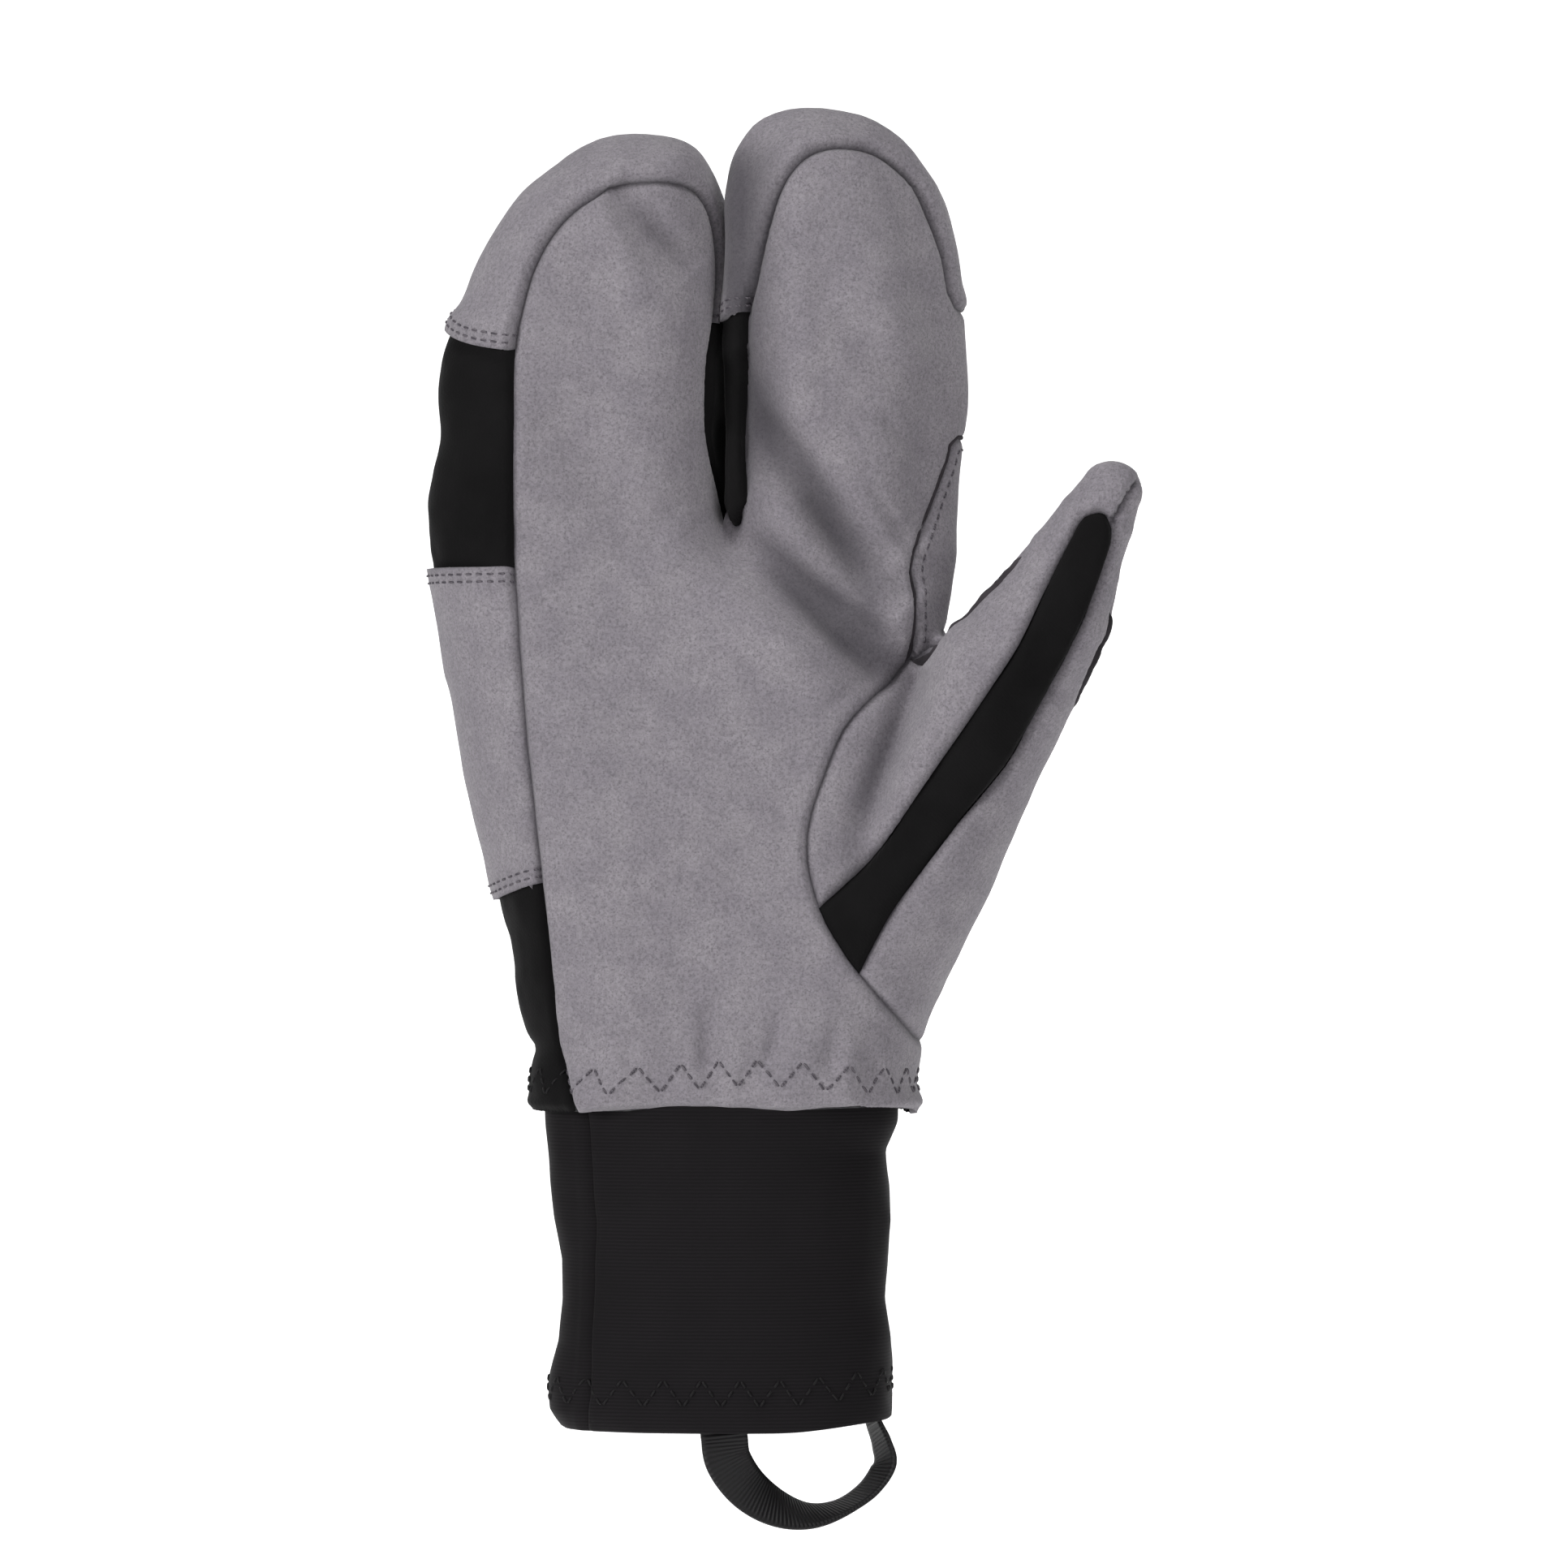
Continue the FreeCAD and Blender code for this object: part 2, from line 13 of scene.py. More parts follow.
import bpy
import numpy as np
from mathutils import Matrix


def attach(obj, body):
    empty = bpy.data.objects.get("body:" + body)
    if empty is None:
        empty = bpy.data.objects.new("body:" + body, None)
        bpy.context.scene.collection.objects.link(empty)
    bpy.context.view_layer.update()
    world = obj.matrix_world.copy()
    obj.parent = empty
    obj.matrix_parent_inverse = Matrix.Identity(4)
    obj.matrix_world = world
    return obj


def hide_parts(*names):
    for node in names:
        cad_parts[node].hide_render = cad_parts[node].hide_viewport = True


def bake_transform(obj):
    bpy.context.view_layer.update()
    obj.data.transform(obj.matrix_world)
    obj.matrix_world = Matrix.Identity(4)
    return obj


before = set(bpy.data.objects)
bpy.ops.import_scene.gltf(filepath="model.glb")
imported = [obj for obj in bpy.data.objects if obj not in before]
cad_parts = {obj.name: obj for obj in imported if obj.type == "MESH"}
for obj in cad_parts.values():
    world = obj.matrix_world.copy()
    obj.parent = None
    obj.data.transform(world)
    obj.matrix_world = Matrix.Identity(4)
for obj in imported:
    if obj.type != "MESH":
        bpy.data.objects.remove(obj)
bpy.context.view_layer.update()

import openvdb
from mathutils import Vector
from mathutils.bvhtree import BVHTree
from mathutils.kdtree import KDTree

LOG = logging.getLogger("ski_glove")
MM = 0.001

Array = np.ndarray
Node = bpy.types.Node
Socket = bpy.types.NodeSocket
Material = bpy.types.Material
MeshObject = bpy.types.Object


class Piece(Enum):
    """The real panels that the glove's body is sewn from."""

    PALM = 1
    RING_CAP = 2
    INDEX_CAP = 3
    KNUCKLE = 4
    BAND = 5
    WRIST = 6
    SIDE_PATCH = 7
    THUMB_INNER = 8
    THUMB_STRIP = 9
    THUMB_OUTER = 10
    THUMB_BACK = 11


class Seam(Enum):
    """How two panels are joined."""

    TURNED = 1
    LAPPED = 2
    RAW = 3


# ---------------------------------------------------------------- finishes


def linear(hex_colour: str) -> tuple[float, float, float, float]:
    """Turns an sRGB hex colour to linear.

    Args:
        hex_colour: the colour as "#rrggbb".

    Returns:
        Linear red, green, blue and an alpha of one.
    """
    shares = [int(hex_colour[k : k + 2], 16) / 255 for k in (1, 3, 5)]
    red, green, blue = (
        s / 12.92 if s <= 0.04045 else ((s + 0.055) / 1.055) ** 2.4 for s in shares
    )
    return red, green, blue, 1.0


def add_node(material: Material, kind: str, inputs: dict | None = None, **settings) -> Node:
    """Adds a node to a material with its settings and links.

    Args:
        material: the material that gets the node.
        kind: the node's type name, without its ShaderNode prefix.
        inputs: a number, a colour or another node's output for each input socket.
        **settings: values for the node's own properties.

    Returns:
        The new node.
    """
    tree = material.node_tree
    node = tree.nodes.new("ShaderNode" + kind)
    for name, setting in settings.items():
        setattr(node, name, setting)
    for socket, feed in (inputs or {}).items():
        if isinstance(feed, Socket):
            tree.links.new(feed, node.inputs[socket])
        else:
            node.inputs[socket].default_value = feed
    return node


def blank_material(name: str) -> Material:
    """Makes an empty node material with this name."""
    material = bpy.data.materials.new(name)
    material.use_nodes = True
    material.node_tree.nodes.clear()
    return material


def per_metre(size_mm: float) -> float:
    """The texture scale at which one feature of a pattern is this many millimetres."""
    return 1.0 / (size_mm * MM)


def mottle(material: Material, place: Socket, size_mm: float, detail: float = 2.0) -> Socket:
    """Adds an uneven pattern.

    Args:
        material: the material.
        place: where the pattern is read.
        size_mm: the size of its patches.
        detail: how many finer patterns are laid over it.

    Returns:
        The pattern's share.
    """
    inputs = {"Vector": place, "Scale": per_metre(size_mm), "Detail": detail}
    return add_node(material, "TexNoise", inputs).outputs["Fac"]


def ribs(material: Material, place: Socket, size_mm: float, waver: dict, way: str) -> Socket:
    """Adds even bands.

    Args:
        material: the material.
        place: where the bands are read.
        size_mm: the distance from band to band.
        waver: the inputs that disturb them.
        way: the direction across them.

    Returns:
        The bands' share.
    """
    inputs = {"Vector": place, "Scale": per_metre(size_mm) / 10 * math.pi, **waver}
    return add_node(material, "TexWave", inputs, bands_direction=way).outputs["Fac"]


def combine(material: Material, first: Socket, second: Socket | float, how: str) -> Socket:
    """Joins two values with one operation of arithmetic."""
    return add_node(material, "Math", {0: first, 1: second}, operation=how).outputs["Value"]


def grade(
    material: Material, share: Socket, low: tuple, high: tuple, span: tuple[float, float] = (0.0, 1.0)
) -> Socket:
    """Adds a passage from one colour to another.

    Args:
        material: the material.
        share: what chooses between the colours.
        low: the colour at the span's start.
        high: the colour at the span's end.
        span: the shares that the passage runs between.

    Returns:
        The colour.
    """
    ramp = add_node(material, "ValToRGB", {"Fac": share})
    for stop, position, colour in zip(ramp.color_ramp.elements, span, (low, high)):
        stop.position = position
        stop.color = colour
    return ramp.outputs["Color"]


def lay_over(
    material: Material, share: Socket | float, under: Socket, over: Socket | tuple, how: str = "MIX"
) -> Socket:
    """Mixes a colour over another.

    Args:
        material: the material.
        share: how much of the upper colour counts.
        under: the lower colour.
        over: the upper colour.
        how: the way they mix.

    Returns:
        The mixed colour.
    """
    inputs = {"Factor": share, "A": under, "B": over}
    return add_node(material, "Mix", inputs, data_type="RGBA", blend_type=how).outputs[2]


def close(material: Material, looks: dict, relief: tuple[Socket, float, float] | None = None) -> Material:
    """Gives a material its shader, over a fine relief if it has one.

    Args:
        material: the material.
        looks: the shader's inputs.
        relief: what gives the height, the relief's strength and its depth in millimetres.

    Returns:
        The finished material.
    """
    if relief:
        height, strength, depth = relief
        inputs = {"Height": height, "Strength": strength, "Distance": depth * MM}
        looks["Normal"] = add_node(material, "Bump", inputs).outputs["Normal"]
    shader = add_node(material, "BsdfPrincipled", looks)
    add_node(material, "OutputMaterial", {"Surface": shader.outputs["BSDF"]})
    return material


def grey(level: float) -> tuple[float, float, float, float]:
    """A linear grey."""
    return level, level, level, 1.0


@dataclass(frozen=True)
class GoatSuede:
    """Buffed goat suede: a short nap that lies in soft clouds over a fine open grain."""

    name: str = "goat_suede"
    lit: str = "#969197"
    brushed: str = "#8b868d"
    pore: str = "#645f66"
    # the colour mixed in for the dark seam lines and for painted shade in grooves, folds and beside the
    # finger gap
    seam: str = "#3c393f"
    pore_mm: float = 0.45
    cloud_mm: float = 9.0
    nap_mm: float = 0.85

    def build(self) -> Material:
        """Makes the suede's material.

        Returns:
            The material, matt and slightly furry, darker in its pores and along its seams, with painted
            shade in its folds.
        """
        material = blank_material(self.name)
        place = add_node(material, "TexCoord").outputs["Object"]
        cloud = mottle(material, place, self.cloud_mm, 5.0)
        nap = mottle(material, place, self.nap_mm, 3.0)
        pore = mottle(material, place, self.pore_mm, 4.0)
        clouds = grade(material, cloud, linear(self.brushed), linear(self.lit), (0.38, 0.66))
        naps = grade(material, nap, grey(0.84), grey(1.13), (0.33, 0.67))
        hide = lay_over(material, 1.0, clouds, naps, "MULTIPLY")
        specks = grade(material, pore, grey(0.65), grey(0.0), (0.3, 0.5))
        speckled = lay_over(material, specks, hide, linear(self.pore))
        # dark seam lines plus painted shade in the seam grooves, in the folds and beside the finger gap
        painted_shade_and_seam_line = add_node(material, "Attribute", attribute_name="seam_line_and_painted_shade").outputs["Fac"]
        looks = {
            "Base Color": lay_over(material, painted_shade_and_seam_line, speckled, linear(self.seam)),
            "Roughness": 0.93,
            "Specular IOR Level": 0.2,
            "Sheen Weight": 0.22,
            "Sheen Roughness": 0.6,
        }
        return close(material, looks, (combine(material, nap, pore, "ADD"), 0.5, 0.25))


@dataclass(frozen=True)
class StretchSoftshell:
    """Woven polyester and elastane softshell: matt black, with a weave too fine to pick out."""

    name: str = "stretch_softshell"
    face: str = "#131213"
    shadow: str = "#0c0b0c"
    weave_mm: float = 0.7  # the real threads are 0.2 mm; drawn coarser so that they show
    bloom_mm: float = 14.0

    def build(self) -> Material:
        """Makes the softshell's material.

        Returns:
            The material, a soft black with a faint diagonal weave.
        """
        material = blank_material(self.name)
        place = add_node(material, "TexCoord").outputs["Object"]
        bias = {"Vector": place, "Rotation": (0.0, math.radians(45), 0.0)}
        turned = add_node(material, "Mapping", bias).outputs["Vector"]
        threads = {"Vector": turned, "Scale": per_metre(self.weave_mm), "Randomness": 0.4}
        weave = add_node(material, "TexVoronoi", threads).outputs["Distance"]
        bloom = mottle(material, place, self.bloom_mm, 4.0)
        looks = {
            "Base Color": grade(material, bloom, linear(self.shadow), linear(self.face), (0.35, 0.7)),
            "Roughness": 0.88,
            "Specular IOR Level": 0.16,
            "Sheen Weight": 0.05,
            "Sheen Roughness": 0.4,
        }
        return close(material, looks, (weave, 0.25, 0.15))


@dataclass(frozen=True)
class RibbedSoftshell:
    """Ribbed stretch softshell: fine ribs round the wrist, which give the eye faint even lines."""

    name: str = "ribbed_softshell"
    ridge: str = "#1c191c"
    furrow: str = "#121012"
    rib_mm: float = 0.8
    bloom_mm: float = 22.0

    def build(self) -> Material:
        """Makes the cuff's material.

        Returns:
            The material, near black, with fine level ribs.
        """
        material = blank_material(self.name)
        place = add_node(material, "TexCoord").outputs["Object"]
        rib = ribs(material, place, self.rib_mm, {"Distortion": 0.6, "Detail": 1.0}, "Z")
        bloom = mottle(material, place, self.bloom_mm, 4.0)
        share = combine(material, rib, bloom, "MULTIPLY")
        looks = {
            "Base Color": grade(material, share, linear(self.furrow), linear(self.ridge), (0.0, 0.55)),
            "Roughness": 0.84,
            "Specular IOR Level": 0.18,
            "Sheen Weight": 0.05,
            "Sheen Roughness": 0.4,
        }
        height = combine(material, rib, mottle(material, place, 9.0), "ADD")
        return close(material, looks, (height, 0.16, 0.15))


@dataclass(frozen=True)
class Grosgrain:
    """Woven polyester grosgrain: crosswise ribs and a slight shine along them."""

    name: str = "grosgrain"
    ridge: str = "#161417"
    furrow: str = "#070607"
    rib_mm: float = 0.85

    def build(self) -> Material:
        """Makes the ribbon's material.

        Returns:
            The material, whose ribs follow the distance along the ribbon.
        """
        material = blank_material(self.name)
        along = add_node(material, "Attribute", attribute_name="along_mm").outputs["Fac"]
        turns = combine(material, along, 2 * math.pi / self.rib_mm, "MULTIPLY")
        rib = add_node(material, "Math", {0: turns}, operation="SINE").outputs["Value"]
        swing = {"Value": rib, "From Min": -1.0, "From Max": 1.0}
        share = add_node(material, "MapRange", swing).outputs["Result"]
        looks = {
            "Base Color": grade(material, share, linear(self.furrow), linear(self.ridge)),
            "Roughness": 0.55,
            "Specular IOR Level": 0.4,
        }
        return close(material, looks, (share, 0.6, 0.25))


@dataclass(frozen=True)
class TwistedThread:
    """Bonded polyester sewing thread, plied, with a dull shine."""

    name: str
    colour: str
    hollow: str
    ply_mm: float = 0.5

    def build(self) -> Material:
        """Makes the thread's material.

        Returns:
            The material, banded by the thread's plies.
        """
        material = blank_material(self.name)
        place = add_node(material, "TexCoord").outputs["Object"]
        plies = ribs(material, place, self.ply_mm, {"Distortion": 1.0}, "DIAGONAL")
        looks = {
            "Base Color": grade(material, plies, linear(self.hollow), linear(self.colour)),
            "Roughness": 0.6,
            "Specular IOR Level": 0.3,
        }
        return close(material, looks)


@dataclass(frozen=True)
class BrushedFleece:
    """Brushed polyester fleece: a deep matt pile inside the glove."""

    name: str = "brushed_fleece"
    tip: str = "#3a383c"
    root: str = "#1b1a1c"
    tuft_mm: float = 1.8

    def build(self) -> Material:
        """Makes the lining's material.

        Returns:
            The material, mottled by its tufts.
        """
        material = blank_material(self.name)
        place = add_node(material, "TexCoord").outputs["Object"]
        tufts = mottle(material, place, self.tuft_mm, 6.0)
        looks = {
            "Base Color": grade(material, tufts, linear(self.root), linear(self.tip)),
            "Roughness": 1.0,
            "Specular IOR Level": 0.1,
            "Sheen Weight": 0.4,
        }
        return close(material, looks, (tufts, 0.8, 0.6))


# ---------------------------------------------------------------- cloth geometry


def ease(values: Array, low: float, high: float) -> Array:
    """A smooth step from zero at low to one at high."""
    share = np.clip((values - low) / (high - low), 0.0, 1.0)
    return share * share * (3.0 - 2.0 * share)


def melt(first: Array, second: Array, radius: float) -> Array:
    """The union of two forms with a fillet of about this radius between them."""
    share = np.clip(0.5 + 0.5 * (second - first) / radius, 0.0, 1.0)
    return second + (first - second) * share - radius * share * (1.0 - share)


def unit(vectors: Array) -> Array:
    """The same directions with a length of one."""
    return vectors / (np.linalg.norm(vectors, axis=-1, keepdims=True) + 1e-12)


def read_off(place: Array | float, table: tuple, column: int = 1) -> Array:
    """Reads a table's column at a place, evenly between its rows.

    Args:
        place: where to read, in the terms of the table's first column.
        table: the rows.
        column: the column to read.

    Returns:
        One value per place.
    """
    rows = np.array(table, float)
    return np.interp(place, rows[:, 0], rows[:, column])


def grid_quads(rows: int, across: int, closed: bool, flipped: bool = False) -> list[tuple]:
    """The quads of a grid of points, stored row by row.

    Args:
        rows: how many rows of points there are.
        across: how many points each row has.
        closed: whether each row comes back to its start.
        flipped: whether the quads face the other way.

    Returns:
        Four point numbers per quad.
    """
    quads = []
    for row in range(rows - 1):
        for step in range(across if closed else across - 1):
            a, b = row * across + step, row * across + (step + 1) % across
            quad = (a, b, b + across, a + across)
            quads.append((quad[0], *quad[:0:-1]) if flipped else quad)
    return quads


def drift(points: Array, size: float, seed: int) -> Array:
    """Smooth random unevenness.

    Args:
        points: places in millimetres, one per row.
        size: the spacing of its hills in millimetres.
        seed: the number that picks the pattern.

    Returns:
        A height from about -1 to 1 at each place.
    """
    lattice = np.random.default_rng(seed).uniform(-1, 1, (40, 40, 40))
    where = points / size + 1000.37
    corner = np.floor(where).astype(int)
    share = where - corner
    share = share * share * (3 - 2 * share)
    total = np.zeros(len(points))
    for dx in (0, 1):
        for dy in (0, 1):
            for dz in (0, 1):
                weight = (
                    np.abs(1 - dx - share[:, 0])
                    * np.abs(1 - dy - share[:, 1])
                    * np.abs(1 - dz - share[:, 2])
                )
                at = (corner + (dx, dy, dz)) % 40
                total += weight * lattice[at[:, 0], at[:, 1], at[:, 2]]
    return total


def to_line(x: Array, z: Array, line: Array) -> tuple[Array, Array]:
    """Measures places on the XZ plane from a line of straight runs.

    Args:
        x: each place's x.
        z: each place's z.
        line: the line's corners, one (x, z) per row.

    Returns:
        The distance from the line, and the share of the line's runs passed at the nearest point.
    """
    best = np.full(np.shape(x), 1e9)
    share = np.zeros(np.shape(x))
    runs = len(line) - 1
    for number in range(runs):
        (ax, az), (bx, bz) = line[number], line[number + 1]
        dx, dz = bx - ax, bz - az
        t = np.clip(((x - ax) * dx + (z - az) * dz) / max(dx * dx + dz * dz, 1e-9), 0, 1)
        away = (x - ax - t * dx) ** 2 + (z - az - t * dz) ** 2
        nearer = away < best
        best = np.where(nearer, away, best)
        share = np.where(nearer, (number + t) / runs, share)
    return np.sqrt(best), share


def through(corners: tuple, closed: bool, steps: int = 4) -> Array:
    """A smooth line through some corners.

    Args:
        corners: (x, z) pairs in millimetres.
        closed: whether the line comes back to its start.
        steps: how many straight runs stand for each span.

    Returns:
        The points of the line, the first repeated at the end when it is closed.
    """
    points = np.array(corners, float)
    if closed:
        padded = np.vstack([points[-1], points, points[0], points[1]])
    else:
        padded = np.vstack([points[0], points, points[-1]])
    share = np.linspace(0, 1, steps, endpoint=False)[:, None]
    runs = []
    for a, b, c, d in zip(padded, padded[1:], padded[2:], padded[3:]):
        slope_b, slope_c = 0.5 * (c - a), 0.5 * (d - b)
        runs.append(
            (2 * share**3 - 3 * share**2 + 1) * b
            + (share**3 - 2 * share**2 + share) * slope_b
            + (-2 * share**3 + 3 * share**2) * c
            + (share**3 - share**2) * slope_c
        )
    return np.vstack([*runs, padded[-2]])


@dataclass(frozen=True)
class Outline:
    """A closed outline on the XZ plane, in millimetres."""

    corners: tuple

    def depth(self, x: Array, z: Array) -> Array:
        """How far places are from the outline, negative inside.

        Args:
            x: each place's x.
            z: each place's z.

        Returns:
            The signed distances.
        """
        line = through(self.corners, closed=True, steps=3)
        away, _ = to_line(x, z, line)
        inside = np.zeros(np.shape(x), bool)
        for (ax, az), (bx, bz) in zip(line, line[1:]):
            if az == bz:
                continue
            spans = (az > z) != (bz > z)
            inside ^= spans & (x < ax + (z - az) * (bx - ax) / (bz - az))
        return np.where(inside, -away, away)


@dataclass
class Skin:
    """A triangle mesh in millimetres, with the outward direction at each point."""

    points: Array
    outward: Array
    faces: Array

    def split_along(self, values: Array, snap: float = 0.06) -> "Skin":
        """Cuts the triangles where a value at the points passes through zero.

        Args:
            values: one value per point.
            snap: values smaller than this count as zero.

        Returns:
            The cut mesh.
        """
        level = np.where(np.abs(values) < snap, 0.0, values)
        sign = np.sign(level).astype(int)
        corner = sign[self.faces]
        crossed = corner * np.roll(corner, -1, axis=1) < 0
        ends = np.stack([self.faces, np.roll(self.faces, -1, axis=1)], axis=2)
        ends.sort(axis=2)
        total = len(self.points)
        keys = ends[..., 0].astype(np.int64) * total + ends[..., 1]
        unique, back = np.unique(keys[crossed], return_inverse=True)
        a, b = unique // total, unique % total
        share = (level[a] / (level[a] - level[b]))[:, None]
        new = np.full(self.faces.shape, -1)
        new[crossed] = total + back
        count = crossed.sum(axis=1)
        faces = [self.faces[count == 0]]
        two = np.flatnonzero(count == 2)
        if len(two):
            lone = (np.argmin(crossed[two], axis=1) + 2) % 3
            f, n = self.faces[two], new[two]
            row = np.arange(len(two))
            p, q = n[row, lone], n[row, (lone + 2) % 3]
            first, second, third = (f[row, (lone + k) % 3] for k in range(3))
            faces += [
                np.stack([first, p, q], 1),
                np.stack([p, second, third], 1),
                np.stack([p, third, q], 1),
            ]
        one = np.flatnonzero(count == 1)
        if len(one):
            k = np.argmax(crossed[one], axis=1)
            f, row = self.faces[one], np.arange(len(one))
            p = new[one][row, k]
            first, second, third = (f[row, (k + j) % 3] for j in range(3))
            faces += [np.stack([first, p, third], 1), np.stack([p, second, third], 1)]
        points = np.vstack([self.points, self.points[a] * (1 - share) + self.points[b] * share])
        outward = np.vstack(
            [self.outward, self.outward[a] * (1 - share) + self.outward[b] * share]
        )
        return Skin(points, unit(outward), np.vstack(faces))

    def middles(self) -> Array:
        """The middle of each triangle."""
        return self.points[self.faces].mean(axis=1)

    def part(self, keep: Array) -> "Skin":
        """The chosen triangles as a mesh of their own.

        Args:
            keep: true for each triangle that stays.

        Returns:
            The smaller mesh.
        """
        faces = self.faces[keep]
        used, back = np.unique(faces, return_inverse=True)
        return Skin(self.points[used], self.outward[used], back.reshape(-1, 3))

    def with_fresh_directions(self) -> "Skin":
        """The same mesh with its outward directions taken from its faces."""
        return Skin(self.points, face_directions(self.points, self.faces), self.faces)

    def edges(self) -> Array:
        """Each triangle's three directed edges: all first ones, then all second and third ones."""
        return np.vstack([self.faces[:, pair] for pair in ([0, 1], [1, 2], [2, 0])])

    def edge_loops(self) -> Array:
        """The directed edges on the mesh's border, one (start, end) per row."""
        ends = self.edges()
        total = len(self.points)
        there = ends[:, 0].astype(np.int64) * total + ends[:, 1]
        back = ends[:, 1].astype(np.int64) * total + ends[:, 0]
        return ends[~np.isin(there, back)]


def face_directions(points: Array, faces: Array) -> Array:
    """The average outward direction at each point.

    Args:
        points: the mesh's points.
        faces: its triangles.

    Returns:
        One unit vector per point.
    """
    a, b, c = (points[faces[:, k]] for k in range(3))
    across = np.cross(b - a, c - a)
    total = np.zeros_like(points)
    for k in range(3):
        for axis in range(3):
            total[:, axis] += np.bincount(faces[:, k], across[:, axis], len(points))
    return unit(total)


def nearest(points: Array, targets: Array, reach: float = 25.0) -> Array:
    """The distance from each point to the nearest target.

    Args:
        points: places in millimetres.
        targets: the places to measure to.
        reach: the distance given where nothing is nearer.

    Returns:
        One distance per point.
    """
    away = np.full(len(points), reach)
    if not len(targets):
        return away
    low, high = targets.min(axis=0) - reach, targets.max(axis=0) + reach
    close = np.flatnonzero(((points > low) & (points < high)).all(axis=1))
    tree = KDTree(len(targets))
    for number, target in enumerate(targets):
        tree.insert(target, number)
    tree.balance()
    for number in close:
        away[number] = min(tree.find(points[number])[2], reach)
    return away


def contours(skin: Skin, values: Array, level: float) -> list[Array]:
    """The lines on a mesh where a value at its points has one level.

    Args:
        skin: the mesh.
        values: one value per point.
        level: the level to follow.

    Returns:
        Each line as rows of point and outward direction, six numbers each.
    """
    rest = values - level
    rest = np.where(rest == 0, 1e-6, rest)
    above = rest[skin.faces] > 0
    mixed = skin.faces[(above.sum(axis=1) % 3) != 0]
    crossings: dict[tuple[int, int], Array] = {}
    links: dict[tuple[int, int], list] = {}
    for triangle in mixed.tolist():
        hits = []
        for a, b in ((0, 1), (1, 2), (2, 0)):
            low, high = sorted((triangle[a], triangle[b]))
            if (rest[low] > 0) != (rest[high] > 0):
                key = (low, high)
                if key not in crossings:
                    t = rest[low] / (rest[low] - rest[high])
                    crossings[key] = np.concatenate(
                        [
                            skin.points[low] * (1 - t) + skin.points[high] * t,
                            skin.outward[low] * (1 - t) + skin.outward[high] * t,
                        ]
                    )
                hits.append(key)
        if len(hits) == 2:
            links.setdefault(hits[0], []).append(hits[1])
            links.setdefault(hits[1], []).append(hits[0])
    lines, seen = [], set()
    starts = [k for k, v in links.items() if len(v) == 1] + list(links)
    for start in starts:
        if start in seen:
            continue
        chain, here = [start], start
        seen.add(start)
        while True:
            following = [k for k in links[here] if k not in seen]
            if not following:
                break
            here = following[0]
            seen.add(here)
            chain.append(here)
        if len(chain) > 4:
            lines.append(np.array([crossings[k] for k in chain]))
    return lines


def evenly(line: Array, spacing: float) -> Array:
    """Points along a line at an even spacing.

    Args:
        line: rows whose first three numbers are a place.
        spacing: the distance between neighbours in millimetres.

    Returns:
        The rows at those distances.
    """
    steps = np.linalg.norm(np.diff(line[:, :3], axis=0), axis=1)
    walked = np.concatenate([[0], np.cumsum(steps)])
    if walked[-1] < spacing:
        return line[:0]
    stops = np.arange(0, walked[-1], spacing)
    return np.stack([np.interp(stops, walked, line[:, k]) for k in range(line.shape[1])], 1)


def mesh_object(
    name: str,
    points: Array,
    faces: list | Array,
    material: Material,
    directions: Array | None = None,
    marks: dict[str, Array] | None = None,
) -> MeshObject:
    """Makes an object from a mesh in millimetres.

    Args:
        name: the object's name.
        points: its points.
        faces: its faces.
        material: its finish.
        directions: the shading direction at each point, if it isn't the faces' own.
        marks: named numbers, one per point, that the finish reads.

    Returns:
        The object, smooth shaded.
    """
    mesh = bpy.data.meshes.new(name)
    plain = faces.tolist() if isinstance(faces, np.ndarray) else [list(face) for face in faces]
    mesh.from_pydata((np.asarray(points) * MM).tolist(), [], plain)
    mesh.update()
    mesh.polygons.foreach_set("use_smooth", np.ones(len(mesh.polygons), bool))
    for mark, numbers in (marks or {}).items():
        layer = mesh.attributes.new(mark, "FLOAT", "POINT")
        layer.data.foreach_set("value", np.asarray(numbers, np.float32))
    if directions is not None:
        mesh.normals_split_custom_set_from_vertices(directions.tolist())
    mesh.materials.append(material)
    item = bpy.data.objects.new(name, mesh)
    bpy.context.scene.collection.objects.link(item)
    return item


# ---------------------------------------------------------------- the glove's form


@dataclass(frozen=True)
class ThumbAxes:
    """The thumb's own directions: across its width, through its depth and along it."""

    root: tuple[float, float, float] = (36.0, -7.0, 50.0)
    splay: float = 30.0
    lean: float = 9.0

    def matrix(self) -> Array:
        """The three directions as rows."""
        s, c = math.sin(math.radians(self.splay)), math.cos(math.radians(self.splay))
        sl, cl = math.sin(math.radians(self.lean)), math.cos(math.radians(self.lean))
        return np.array([(c, 0, -s), (s * sl, cl, c * sl), (s * cl, -sl, c * cl)])

    def local(self, points: Array) -> Array:
        """Places in the thumb's own frame."""
        return (points - np.array(self.root)) @ self.matrix().T

    def world(self, across: float, through_it: float, along: float) -> Array:
        """A place in the glove's frame from one in the thumb's."""
        return np.array(self.root) + np.array([across, through_it, along]) @ self.matrix()


@dataclass(frozen=True)
class Fold:
    """A soft groove, or a ridge where its depth is negative, along a line on the palm side."""

    corners: tuple
    depth: float
    width: float

    def rise(self, x: Array, z: Array) -> Array:
        """How far the fold moves the palm side outwards.

        Args:
            x: each place's x.
            z: each place's z.

        Returns:
            One distance per place, negative where the fold sinks.
        """
        line = through(self.corners, closed=False)
        away, share = to_line(x, z, line)
        taper = np.sin(np.pi * np.clip(share, 0.0, 1.0)) ** 0.7
        return -self.depth * np.exp(-((away / self.width) ** 2)) * taper


